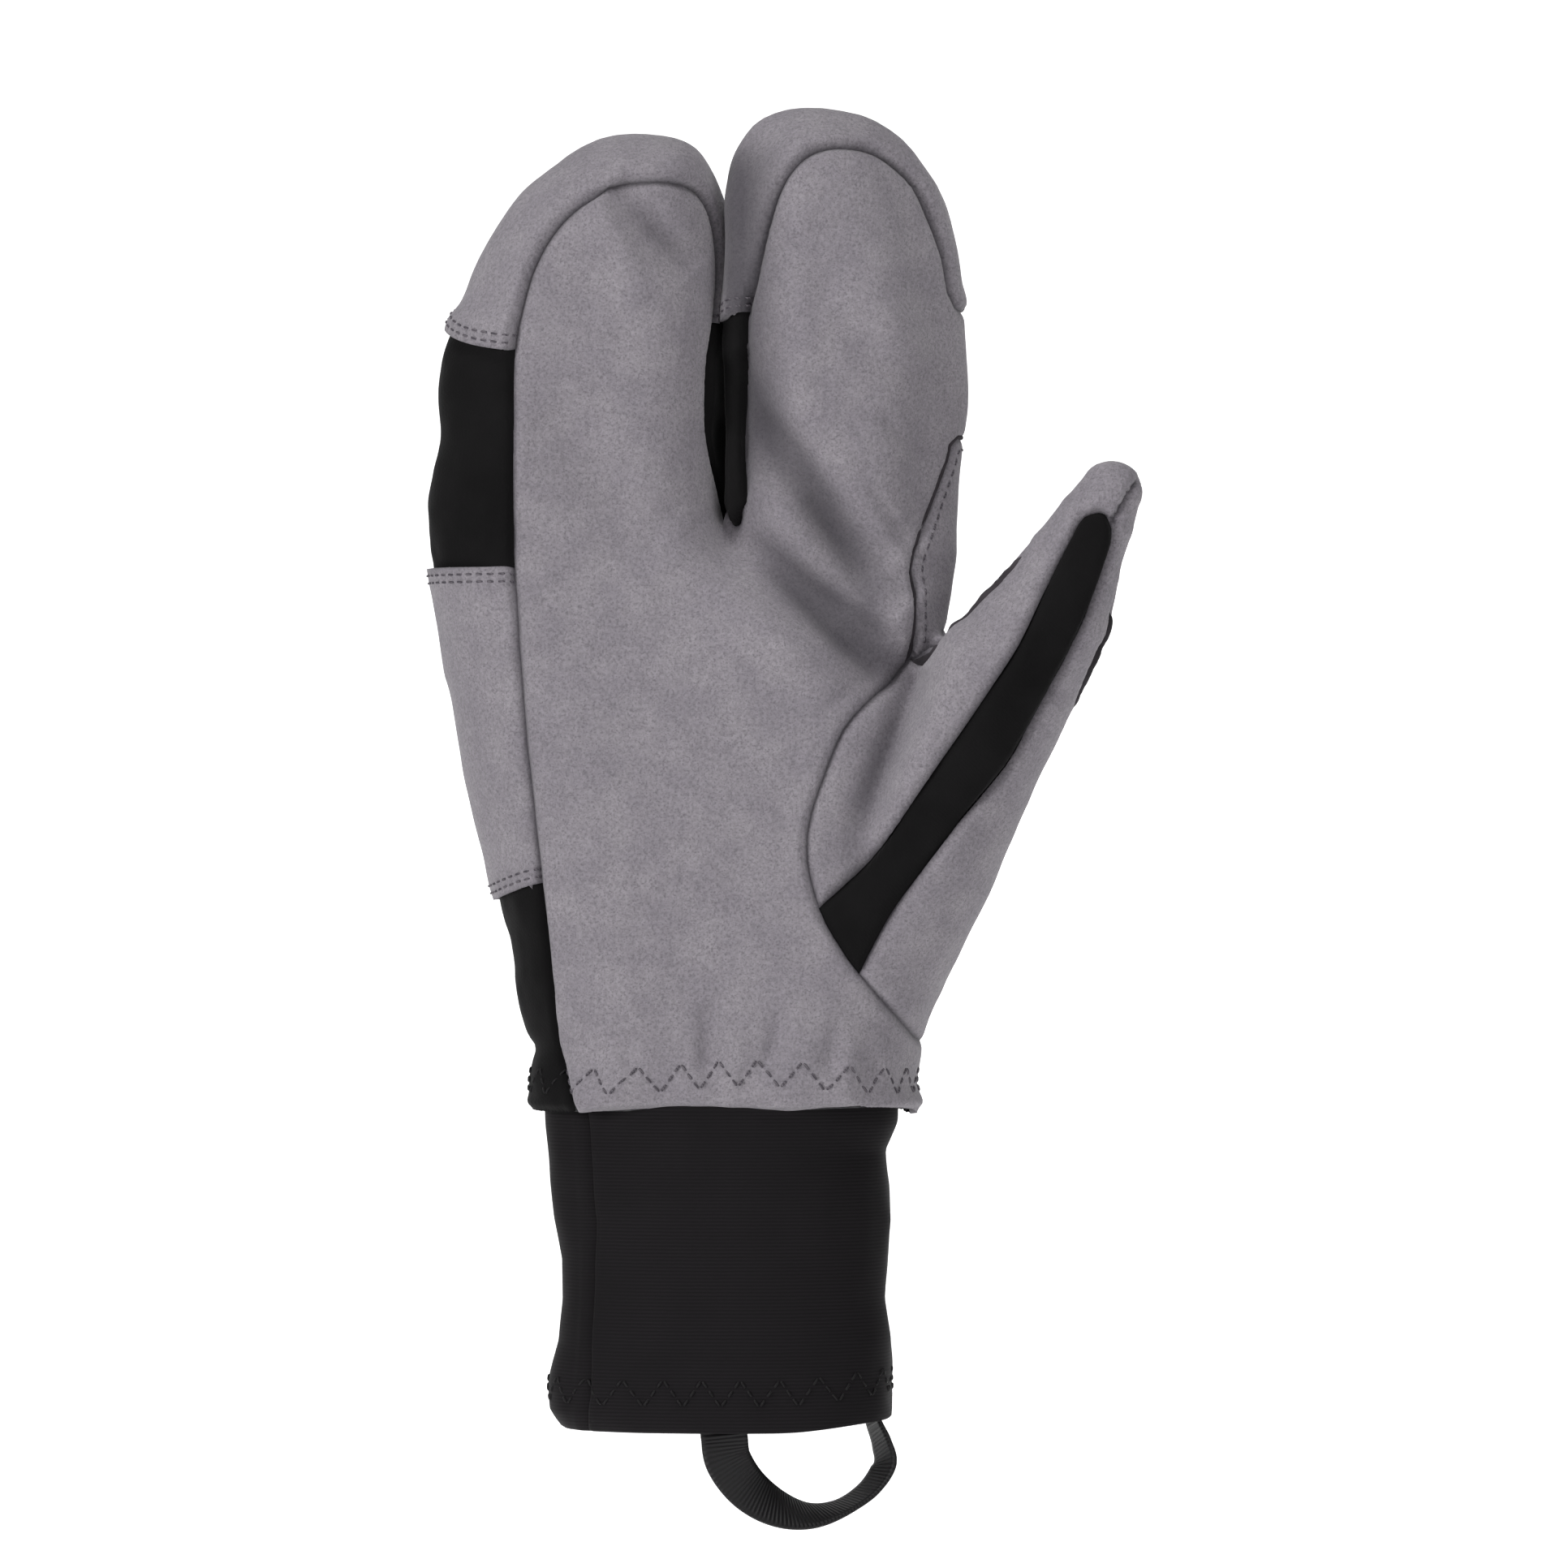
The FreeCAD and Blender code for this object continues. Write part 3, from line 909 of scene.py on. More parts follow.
@dataclass
class GloveForm:
    """The smooth filled form under the panels, before any seam or fold."""

    voxel: float = 0.85
    low: tuple[float, float, float] = (-72.0, -38.0, -8.0)
    high: tuple[float, float, float] = (101.0, 38.0, 234.0)
    crotch: float = 132.3
    gap_hook: float = 2.3  # the finger compartments meet along a face that steps sideways
    hook_softness: float = 4.5
    crotch_melt: float = 5.0
    thumb_melt: float = 8.0
    lining_depth: float = 4.9
    thumb: ThumbAxes = field(default_factory=ThumbAxes)
    hand: Outline = Outline(
        (
            (-42.6, -12), (-43.6, 3), (-41.8, 13), (-44.4, 18), (-46.9, 27), (-47.6, 35),
            (-51.2, 47), (-54.0, 57), (-57.6, 71), (-61.0, 90), (-63.6, 108), (-65.4, 123),
            (-62.0, 134), (-50, 137), (-20, 133.5), (1.5, 130.5), (25, 133.5), (45, 136),
            (51.6, 130), (50.9, 119), (49.6, 106), (48.0, 90), (46, 75), (44.5, 60), (44, 40),
            (44.5, 27), (45.6, 15), (44.6, 5), (42.8, -12),
        )
    )  # fmt: skip
    ring: Outline = Outline(
        (
            (-58, 95), (-62.5, 110), (-65.2, 124), (-66.0, 134), (-65.2, 142), (-62.9, 152),
            (-63.3, 160), (-62.9, 166), (-60.3, 178.5), (-57.7, 183), (-53.7, 193.3),
            (-47.2, 204.4), (-38.9, 213.7), (-27.8, 220.2), (-16.7, 221.4), (-8, 219.6),
            (-3.0, 214.5), (-0.4, 206), (0.2, 196), (0.4, 180), (0.4, 155), (0.4, 130),
            (-4, 100), (-20, 92), (-40, 90),
        )
    )  # fmt: skip
    index: Outline = Outline(
        (
            (1.8, 130), (1.8, 155), (1.8, 185), (1.6, 198), (1.3, 207), (1.7, 214), (4.2, 219.8),
            (9.3, 224.8), (18.5, 227), (31.5, 225.7), (40.7, 220.2), (48.1, 210), (51.8, 198.9),
            (53.4, 187.8), (54.6, 167.4), (54.2, 158.2), (52.9, 148.9), (51.8, 132.3),
            (50.6, 119), (46, 100), (30, 92), (12, 93), (4, 104),
        )
    )  # fmt: skip
    # Height, half depth and the radius that the sides round over with.
    hand_depths: tuple = (
        (-8, 30, 26), (0, 30, 26), (13, 27.5, 26), (35, 26, 28), (70, 25, 30), (105, 23.5, 30),
        (132, 21.5, 26), (234, 20, 22),
    )  # fmt: skip
    finger_depths: tuple = (
        (-8, 20, 20), (132, 20, 20), (155, 19.6, 19), (178, 19, 19), (200, 18, 20), (234, 15, 20),
    )  # fmt: skip
    finger_bow: tuple = ((-8, -1), (132, -1), (155, -1.5), (178, -4), (200, -6), (234, -9.5))
    # Along the thumb: distance, middle across, radius.
    thumb_rounds: tuple = (
        (-14, 4.2, 19.3), (10, 3.0, 19.0), (35, 1.2, 17.8), (56, 0.8, 16.8), (74, 1.9, 13.5),
        (86, 1.0, 10.9), (97, 0.4, 8.9), (104.8, 0.0, 7.3),
    )  # fmt: skip

    folds: tuple = (
        Fold(((4, 172), (11, 155), (20, 140), (32, 125), (42, 114)), 5.6, 6.0),
        Fold(((2, 134), (12, 122), (24, 111), (35, 102), (47, 95)), 6.6, 7.8),
        Fold(((19, 140), (29, 124), (38, 106)), 1.4, 3.4),
        Fold(((-14, 130), (4, 117), (17, 104), (27, 94)), -3.2, 8.0),
        Fold(((24, 184), (38, 177), (53, 167)), -2.0, 5.5),
        Fold(((15, 197), (24, 186), (42, 163)), 1.6, 6.0),
        Fold(((-25, 209), (-16, 200), (-6, 190)), 3.4, 4.5),
        Fold(((-29, 207), (-24, 196), (-17, 182)), -1.8, 4.0),
        Fold(((-40, 158), (-30, 142), (-15, 122)), 2.4, 8.0),
        Fold(((7, 131), (24, 117), (41, 106)), 1.2, 1.9),
        Fold(((11, 123), (25, 107), (35, 97)), 1.1, 1.9),
        Fold(((30, 148), (40, 131), (48, 121)), 1.0, 1.9),
        Fold(((35, 158), (50, 142)), 0.8, 1.8),
        Fold(((9, 160), (18, 149), (27, 135)), 0.9, 1.8),
        Fold(((-3, 25), (-3, 14), (-5, 8)), 1.9, 2.3),
        Fold(((13, 23), (12, 15), (10, 9)), 1.7, 2.3),
        Fold(((3, 21), (4, 13), (4, 8)), -1.0, 2.6),
        Fold(((-22, 19), (-21, 12), (-20, 7)), 1.1, 2.6),
        Fold(((27, 20), (25, 14), (24, 8)), 1.2, 2.4),
        Fold(((36, 14), (34, 10), (34, 6)), 1.0, 2.2),
    )
    thumb_folds: tuple = (
        Fold(((46, 100), (38, 84), (32, 68), (27, 48)), 5.4, 5.0),
        Fold(((57, 110), (51, 96), (43, 78), (34, 58)), -2.4, 3.8),
        Fold(((78, 104), (66, 82), (56, 60)), 1.3, 5.0),
    )

    def sunk(self, x: Array, z: Array, folds: tuple) -> Array:
        """How far some folds sink the palm side, beside places on the XZ plane."""
        return -sum(fold.rise(x, z) for fold in folds)

    def creased(self, folds: tuple, turned: bool) -> Array:
        """How far the palm side sinks, on the whole grid.

        Args:
            folds: the folds to count.
            turned: whether the index compartment's own turn counts too.

        Returns:
            One distance per place on the grid.
        """
        x, y, z = self.axes()
        flat_x, flat_z = np.meshgrid(x, z, indexing="ij")
        sunk = self.sunk(flat_x, flat_z, folds)
        if turned:
            sunk += 4.5 * ease(flat_x, 10.0, 54.0) * ease(flat_z, 100.0, 138.0)
            beside_gap = ease(flat_x, 2.0, 6.5) * (1 - ease(flat_x, 8.0, 20.0))
            sunk += 2.4 * beside_gap * ease(flat_z, 126.0, 150.0)
        bow = read_off(z, self.finger_bow)
        front = ease(bow[None, :] - y[:, None], 0.5, 10.0)
        return (sunk[:, None, :] * front[None, :, :]).astype(np.float32)

    def axes(self) -> tuple[Array, Array, Array]:
        """The grid's coordinates along x, y and z."""
        return tuple(np.arange(a, b, self.voxel) for a, b in zip(self.low, self.high))

    def gap_middle(self, points: Array) -> Array:
        """The x of the gap between the finger compartments, beside each place."""
        bow = read_off(points[:, 2], self.finger_bow)
        step = self.gap_hook * self.hook_share(points[:, 2])
        return 1.0 + step * np.tanh((points[:, 1] - bow) / self.hook_softness)

    def hook_share(self, z: Array) -> Array:
        """How much of the step there is at each height."""
        return ease(z, 110.0, 140.0) * (1 - ease(z, 204.0, 218.0))

    def slab(self, outline: Outline, depths: tuple, bow: tuple, hook: float) -> Array:
        """A flat filled form with rounded sides.

        Args:
            outline: its outline on the XZ plane.
            depths: rows of height, half depth and side radius.
            bow: rows of height and the middle's y.
            hook: how far the outline steps sideways from the front to the back.

        Returns:
            The form's signed distances on the grid.
        """
        x, y, z = self.axes()
        flat_x, flat_z = np.meshgrid(x, z, indexing="ij")
        inside = -outline.depth(flat_x, flat_z)
        half, radius = read_off(z, depths), read_off(z, depths, 2)
        middle = read_off(z, bow)
        faded = hook * self.hook_share(z)
        form = np.empty((len(x), len(y), len(z)), np.float32)
        columns = np.arange(len(z))[None, :]
        for number, depth in enumerate(y):
            step = faded * np.tanh((depth - middle) / self.hook_softness)
            at = (flat_x - step - x[0]) / self.voxel
            left = np.clip(np.floor(at).astype(int), 0, len(x) - 2)
            share = np.clip(at - left, 0, 1)
            margin = inside[left, columns] * (1 - share) + inside[left + 1, columns] * share
            side = np.maximum(1 - margin / radius, 0)
            front = (depth - middle) / half
            round_off = np.sqrt(front**2 + side**2) + 1e-6
            slope = np.sqrt((front / half) ** 2 + (side / radius) ** 2) + 1e-3
            form[:, number, :] = (round_off - 1) * round_off / slope
        return form

    def thumb_form(self) -> Array:
        """The thumb's signed distances on the grid.

        Returns:
            A chain of round cones along the thumb.
        """
        x, y, z = self.axes()
        px, py, pz = np.meshgrid(x, y, z, indexing="ij")
        best = np.full(px.shape, 1e3, np.float32)
        centres = [self.thumb.world(across, 0, along) for along, across, _ in self.thumb_rounds]
        for number in range(len(centres) - 1):
            start, run = centres[number], centres[number + 1] - centres[number]
            radius, next_radius = self.thumb_rounds[number][2], self.thumb_rounds[number + 1][2]
            dx, dy, dz = px - start[0], py - start[1], pz - start[2]
            t = np.clip((dx * run[0] + dy * run[1] + dz * run[2]) / (run @ run), 0, 1)
            away = np.sqrt(
                (dx - t * run[0]) ** 2 + (dy - t * run[1]) ** 2 + (dz - t * run[2]) ** 2
            )
            best = np.minimum(best, away - radius - t * (next_radius - radius))
        return best

    def field_values(self) -> Array:
        """The whole form's signed distances on the grid.

        Returns:
            Negative numbers inside the form.
        """
        straight = ((-8.0, 0.0), (234.0, 0.0))
        hand = self.slab(self.hand, self.hand_depths, straight, 0.0)
        ring = self.slab(self.ring, self.finger_depths, self.finger_bow, self.gap_hook)
        index = self.slab(self.index, self.finger_depths, self.finger_bow, self.gap_hook)
        fingers = np.minimum(ring, index)
        turned_in = 1.6 * ease(-self.axes()[2], -2.6, 1.0) ** 2
        body = melt(hand, fingers, self.crotch_melt) + self.creased(self.folds, True) + turned_in
        thumb = self.thumb_form() + self.creased(self.thumb_folds, False)
        return melt(body, thumb, self.thumb_melt).astype(np.float32)

    def surface(self, values: Array, level: float) -> Skin:
        """The mesh of the form at one depth.

        Args:
            values: signed distances on the grid.
            level: the distance to follow, negative for inside the form.

        Returns:
            The mesh.
        """
        volume = openvdb.FloatGrid(20.0)
        volume.copyFromArray(values)
        points, quads = volume.convertToQuads(isovalue=level)
        points = points * self.voxel + np.array(self.low)
        quads = quads.astype(np.int64)
        faces = np.vstack([quads[:, [0, 1, 2]], quads[:, [0, 2, 3]]])
        a, b, c = (points[faces[:, k]] for k in range(3))
        if np.einsum("ij,ij->i", a, np.cross(b, c)).sum() < 0:
            faces = faces[:, ::-1]
        return Skin(points, face_directions(points, faces), faces)


# ---------------------------------------------------------------- the panels of the body


# The palm's seams with the patch at the index finger's side and with the thumb, x and z.
SIDE_SEAM = (
    (53.5, 152.5), (50.9, 147), (49.0, 141.5), (47.2, 136), (44.6, 128.6), (43.3, 122),
    (44.3, 115.6), (44.0, 108), (42.0, 101),
)  # fmt: skip
THUMB_SEAM = (
    (38.4, 96.8), (34.2, 93.4), (27.8, 86), (23.1, 74.9), (20.0, 65.7), (19.4, 56.4),
    (22.2, 45.3), (26.5, 37.4), (31.5, 30.5), (38.9, 22.2), (46.3, 14.8), (60, 4),
)  # fmt: skip


@dataclass
class BodyPanels:
    """The suede and softshell panels of the body, their seams and their folds."""

    form: GloveForm = field(default_factory=GloveForm)
    hem_height: float = -0.6
    band_top: float = 122.8
    side_wrap: float = 12.0
    thumb_split: float = 56.2
    blend_end: float = 169.0
    palm: Outline = Outline(
        (
            (-33.0, -14), (-33.3, -1), (-34.8, 6.5), (-37.0, 15.7), (-38.9, 30.5), (-39.8, 40),
            (-41.0, 52), (-42.6, 67.5), (-45.3, 95.3), (-46.8, 123), (-47.0, 141.5),
            (-46.9, 160), (-46.8, 171), (-45.3, 180.4), (-42.6, 189.6), (-38.3, 197.6),
            (-32, 204.4), (-25, 208.1), (-16.7, 209.6), (-9.0, 209.2), (-4.4, 207.0),
            (-2.0, 202.6), (-1.0, 196), (-0.9, 188), (-1.8, 179), (-3.0, 171), (-3.3, 162),
            (-2.8, 152), (-0.9, 141.5), (1.2, 133.6), (2.6, 131.9), (4.0, 133.4), (5.2, 141.5),
            (5.6, 160), (5.6, 178.5), (7.6, 187.8), (10.2, 198.9), (13.4, 208.6), (17.4, 214.0),
            (22.2, 217.0), (28.0, 217.8), (35.2, 216.5), (42.6, 210.9), (46.6, 204.4),
            (50.9, 193.3), (53.5, 182), (66, 176), (66, 153), *SIDE_SEAM, *THUMB_SEAM,
            (60, -14),
        )
    )  # fmt: skip
    thumb: Outline = Outline(
        (
            SIDE_SEAM[-1], *THUMB_SEAM, (125, 40), (125, 170), (75, 165), (56, 124),
            (50.3, 107.6),
        )
    )  # fmt: skip
    strip: Outline = Outline(
        (
            (16, 38), (22, 45.9), (30, 53.4), (39.4, 64.8), (49.8, 79.7), (60.1, 94.9),
            (66.8, 105.3), (72.4, 117.5), (77.1, 127), (79.4, 131.8), (81.2, 133.9),
            (84.6, 134.9), (87.0, 133.6), (88.4, 129), (86.6, 122.3), (82.3, 111), (76.2, 98.7),
            (69.6, 86.4), (64, 77), (53.6, 64.8), (43.2, 51.5), (37.6, 43.5), (30.9, 30.3),
            (26, 20), (10, 22),
        )
    )  # fmt: skip
    side: Outline = Outline((*SIDE_SEAM, (50.3, 107.6), (66, 112), (66, 153)))

    def hem_line(self, points: Array) -> Array:
        """How far each point is above the body's lower edge."""
        wave = 0.45 * np.sin(points[:, 0] / 9.0 + points[:, 1] / 11.0)
        tilt = 0.8 * ease(points[:, 0], -25.0, 15.0) * ease(-points[:, 1], 0, 10)
        return points[:, 2] - self.hem_height - wave - tilt

    def cap_line(self, points: Array) -> Array:
        """How far each point is above the fingertip caps' lower edge."""
        outer_ring = ease(-points[:, 0], 30.0, 48.0)
        drop = outer_ring * 0.38 * np.clip(-points[:, 1] - 4.0, 0, 30)
        index_rise = 2.0 * ease(points[:, 0], 0.0, 4.0)
        return points[:, 2] - 178.6 + drop - index_rise

    def band_foot(self, points: Array) -> Array:
        """How far each point is above the lower edge of the suede band on the back."""
        rise = 3.8 * ease(points[:, 0], -54.0, -40.0) * ease(-points[:, 1], 0, 12)
        return points[:, 2] - 47.6 - rise

    def palm_edge(self, points: Array) -> Array:
        """Negative on the palm panel."""
        outline = self.palm.depth(points[:, 0], points[:, 2])
        bow = read_off(points[:, 2], self.form.finger_bow)
        limit = bow + 8.0 * ease(points[:, 0], 34.0, 48.0)
        return np.maximum(outline, points[:, 1] - limit)

    def thumb_edge(self, points: Array) -> Array:
        """Negative on the thumb's panels."""
        return self.thumb.depth(points[:, 0], points[:, 2])

    def strip_edge(self, points: Array) -> Array:
        """Negative on the stretch strip along the thumb."""
        depth = self.form.thumb.local(points)[:, 1]
        return np.maximum(self.strip.depth(points[:, 0], points[:, 2]), depth + 1.0)

    def thumb_side_edge(self, points: Array) -> Array:
        """Negative in front of the seam along the thumb's sides."""
        local = self.form.thumb.local(points)
        wander = 0.5 * np.sin(local[:, 2] / 7.0)
        inner = -3.4 * ease(-local[:, 0], -2.0, 5.0) * ease(local[:, 2], 43.0, 56.0)
        inner *= 1 - ease(local[:, 2], 77.0, 89.0)
        web = np.exp(-(((local[:, 2] - 41.0) / 7.0) ** 2)) * ease(-local[:, 0], 8.0, 16.0)
        inner += 8.5 * web
        outer = -3.2 * ease(local[:, 0], 0.0, 6.0) * np.exp(-(((local[:, 2] - 69.0) / 13.0) ** 2))
        return local[:, 1] - 0.6 - inner - outer - wander

    def thumb_tip_edge(self, points: Array) -> Array:
        """Negative below the edge where the tip's suede meets the outer panel."""
        return (points[:, 2] - 133.9) - 1.15 * (points[:, 0] - 87.0)

    def side_edge(self, points: Array) -> Array:
        """Negative on the patch at the index finger's side."""
        outline = self.side.depth(points[:, 0], points[:, 2])
        return np.maximum(outline, points[:, 1] - self.side_wrap)

    def pieces_of(self, points: Array) -> Array:
        """The real panel that each place lies on.

        Args:
            points: places on the body.

        Returns:
            The value of a Piece for each, or zero below the hem.
        """
        right = points[:, 0] >= self.form.gap_middle(points)
        capped = self.cap_line(points) > 0
        on_thumb = self.thumb_edge(points) < 0
        front = on_thumb & (self.thumb_side_edge(points) < 0)
        outer = (self.form.thumb.local(points)[:, 0] > 4.0) & (self.thumb_tip_edge(points) < 0)
        chosen = np.full(len(points), Piece.WRIST.value)
        for covered, piece in (
            (self.band_foot(points) > 0, Piece.BAND),
            (points[:, 2] > self.band_top, Piece.KNUCKLE),
            (capped & ~right, Piece.RING_CAP),
            (capped & right, Piece.INDEX_CAP),
            (self.side_edge(points) < 0, Piece.SIDE_PATCH),
            (self.palm_edge(points) < 0, Piece.PALM),
            (on_thumb, Piece.THUMB_BACK),
            (front, Piece.THUMB_INNER),
            (front & outer, Piece.THUMB_OUTER),
            (on_thumb & (self.strip_edge(points) < 0), Piece.THUMB_STRIP),
        ):
            chosen[covered] = piece.value
        chosen[self.hem_line(points) < 0] = 0
        return chosen

    def cut(self, skin: Skin) -> tuple[Skin, Array]:
        """Cuts the skin along every seam.

        Args:
            skin: the smooth form's mesh.

        Returns:
            The cut mesh and the Piece value of each triangle.
        """
        lines = (
            self.hem_line, self.palm_edge, self.thumb_edge, self.strip_edge,
            self.thumb_side_edge, self.thumb_tip_edge, self.side_edge, self.cap_line,
            lambda p: p[:, 2] - self.band_top, self.band_foot,
            lambda p: p[:, 2] - self.form.crotch,
            lambda p: self.form.thumb.local(p)[:, 2] - self.thumb_split,
        )  # fmt: skip
        for line in lines:
            skin = skin.split_along(line(skin.points))
        chosen = self.pieces_of(skin.middles())
        kept = chosen > 0
        return Skin(skin.points, skin.outward, skin.faces[kept]), chosen[kept]


LAPPED_PAIRS = (
    {Piece.RING_CAP, Piece.KNUCKLE},
    {Piece.INDEX_CAP, Piece.KNUCKLE},
    {Piece.BAND, Piece.KNUCKLE},
    {Piece.BAND, Piece.WRIST},
)
RAW_PAIRS = (
    {Piece.SIDE_PATCH, Piece.PALM},
    {Piece.THUMB_BACK, Piece.THUMB_INNER},
    {Piece.THUMB_BACK, Piece.THUMB_OUTER},
)
CAPS = (Piece.RING_CAP, Piece.INDEX_CAP)
UPPER = {*CAPS, Piece.BAND}
SUEDE = {
    Piece.PALM, Piece.RING_CAP, Piece.INDEX_CAP, Piece.BAND, Piece.SIDE_PATCH,
    Piece.THUMB_INNER, Piece.THUMB_OUTER, Piece.THUMB_BACK,
}  # fmt: skip


@dataclass
class SewnPanel:
    """One real panel after it has been shaped by its seams and folds."""

    piece: Piece
    skin: Skin
    to_turned: Array
    to_lapped: Array
    to_raw: Array


@dataclass
class SewingRoom:
    """Shapes the cut panels and turns them to objects."""

    panels: BodyPanels
    finishes: dict[str, Material]
    groove_depth: float = 1.3
    groove_width: float = 1.0
    lap_height: float = 0.8
    hide_thickness: float = 1.5
    lap_reach: float = 7.0
    gather_height: float = 0.45  # the puckers that the elastic draws in above the hem
    darkest: float = 0.85
    wall_shade: float = 0.55

    def seam_places(self, skin: Skin, chosen: Array) -> dict[Seam, dict[Piece, Array]]:
        """Finds the points on each kind of seam of each panel.

        Args:
            skin: the cut mesh.
            chosen: the Piece value of each triangle.

        Returns:
            For each kind of seam, the points on it that belong to each panel.
        """
        total = len(skin.points)
        ends = np.sort(skin.edges(), axis=1)
        owner = np.tile(chosen, 3)
        keys = ends[:, 0].astype(np.int64) * total + ends[:, 1]
        order = np.argsort(keys, kind="stable")
        keys, owner, ends = keys[order], owner[order], ends[order]
        pair = np.flatnonzero((keys[:-1] == keys[1:]) & (owner[:-1] != owner[1:]))
        found: dict[Seam, dict[Piece, set]] = {kind: {} for kind in Seam}
        for number in pair:
            pieces = {Piece(owner[number]), Piece(owner[number + 1])}
            if pieces in LAPPED_PAIRS:
                kind = Seam.LAPPED
            elif pieces in RAW_PAIRS:
                kind = Seam.RAW
            else:
                kind = Seam.TURNED
            for piece in pieces:
                found[kind].setdefault(piece, set()).update(ends[number].tolist())
        return {
            kind: {piece: skin.points[sorted(places)] for piece, places in by_piece.items()}
            for kind, by_piece in found.items()
        }

    def lift(self, panel: SewnPanel, points: Array) -> Array:
        """How far each point of a panel moves outwards.

        Args:
            panel: the panel with its distances to its seams.
            points: its points.

        Returns:
            One distance per point in millimetres.
        """
        sewn = np.minimum(panel.to_turned, panel.to_raw)
        shallow = 1 - 0.6 * ease(points[:, 1], -11.0, -4.0)  # the sides keep a smooth outline
        rise = -self.groove_depth * shallow * np.exp(-((sewn / self.groove_width) ** 2))
        away = sewn / 2.6
        puff = {Piece.RING_CAP: 1.1, Piece.INDEX_CAP: 1.1, Piece.THUMB_INNER: 0.5}
        rise += puff.get(panel.piece, 0.25) * away * np.exp(1 - away)
        clear = 1 - np.exp(-((sewn / 1.4) ** 2))
        if panel.piece in UPPER:
            lap = self.lap_height * (1 - 0.9 * ease(points[:, 0], 40.0, 50.0))
            rise += lap * np.exp(-((panel.to_lapped / self.lap_reach) ** 2)) * clear
        else:
            rise -= 0.35 * np.exp(-((panel.to_lapped / 2.5) ** 2)) * clear
        if panel.piece in SUEDE:
            rise += 0.75 * drift(points, 23.0, 3) + 0.2 * drift(points, 6.0, 5)
        else:
            rise += 0.8 * drift(points, 13.0, 9) * clear + 0.15 * drift(points, 4.0, 11)
        hem = self.panels.hem_line(points)
        gather = np.sin(points[:, 0] / 1.9 + 1.5 * np.sin(points[:, 0] / 5.0))
        rise += self.gather_height * gather * np.exp(-(((hem - 9.0) / 6.0) ** 2))
        rise -= 0.9 * np.exp(-((hem / 1.3) ** 2))  # the folded edge rolls in
        return rise

    def sew(self, skin: Skin, chosen: Array) -> list[SewnPanel]:
        """Shapes every panel.

        Args:
            skin: the cut mesh.
            chosen: the Piece value of each triangle.

        Returns:
            The shaped panels.
        """
        places = self.seam_places(skin, chosen)
        sewn = []
        for piece in Piece:
            flat = skin.part(chosen == piece.value)
            away = [
                nearest(flat.points, places[kind].get(piece, np.zeros((0, 3)))) for kind in Seam
            ]
            panel = SewnPanel(piece, flat, *away)
            rise = self.lift(panel, flat.points)
            moved = flat.points + flat.outward * rise[:, None]
            panel.skin = Skin(moved, flat.outward, flat.faces).with_fresh_directions()
            sewn.append(panel)
        return sewn

    def fold_shade(self, points: Array, piece: Piece) -> Array:
        """Painted shade down in the folds, and a painted shadow on the index side beside the finger gap.

        Args:
            points: a panel's points.
            piece: the panel.

        Returns:
            One share per point.
        """
        form = self.panels.form
        on_thumb = piece in (Piece.THUMB_INNER, Piece.THUMB_OUTER, Piece.THUMB_BACK)
        folds = form.thumb_folds if on_thumb else form.folds
        sunk = form.sunk(points[:, 0], points[:, 2], folds)
        # painted shade, deeper where the folds sink further
        shade = 0.85 * ease(sunk, 0.9, 7.5)
        if piece in (Piece.INDEX_CAP, Piece.PALM):
            # painted shadow that the ring compartment casts on the index side of the gap
            beside = ease(points[:, 0], -0.5, 1.5) * (1 - ease(points[:, 0], 3.0, 17.0))
            tall = ease(points[:, 2], 128.0, 150.0) * (1 - ease(points[:, 2], 212.0, 224.0))
            shade += 0.8 * beside * tall
        return shade * ease(-points[:, 1], -1.0, 7.0)

    def skirted(self, panel: SewnPanel) -> tuple[Array, Array, Array, Array]:
        """Adds the thickness of the hide along a panel's cut edges.

        Args:
            panel: the panel.

        Returns:
            Points, shading directions, triangles and how dark each point is painted: seam lines, painted
            shade in grooves and folds.
        """
        skin = panel.skin
        border = skin.edge_loops()
        used, back = np.unique(border, return_inverse=True)
        back = back.reshape(-1, 2)
        top = skin.points[used]
        foot = top - skin.outward[used] * self.hide_thickness
        count = len(skin.points)
        a, b = count + back[:, 0], count + back[:, 1]
        c, d = b + len(used), a + len(used)
        wall = np.vstack([np.stack([b, a, c], 1), np.stack([a, d, c], 1)])
        points = np.vstack([skin.points, top, foot])
        walls = face_directions(points, wall)[count:]
        directions = np.vstack([skin.outward, walls])
        faces = np.vstack([skin.faces, wall])
        edge = np.minimum(panel.to_turned, panel.to_raw)
        # a thin dark seam line, with a wider painted shade in the seam's groove
        shade = 0.6 * np.exp(-((edge / 0.45) ** 2)) + 0.12 * np.exp(-((edge / 1.8) ** 2))
        shade += 0.4 * np.exp(-((panel.to_lapped / 0.35) ** 2))
        # painted shade in the folds and a painted shadow beside the finger gap
        shade += self.fold_shade(skin.points, panel.piece)
        shade = np.clip(shade, 0, self.darkest)
        wall_shade = np.full(2 * len(used), self.wall_shade)
        return points, directions, faces, np.concatenate([shade, wall_shade])


@dataclass(frozen=True)
class Cutting:
    """Which share of a panel becomes one object, what it moves with and how large it was cut."""

    name: str
    piece: Piece
    side: str  # hand, ring, index, base or free
    stands_for: tuple[str, ...]
    cut: tuple[float, float, float]  # width and length in mm, area in square cm


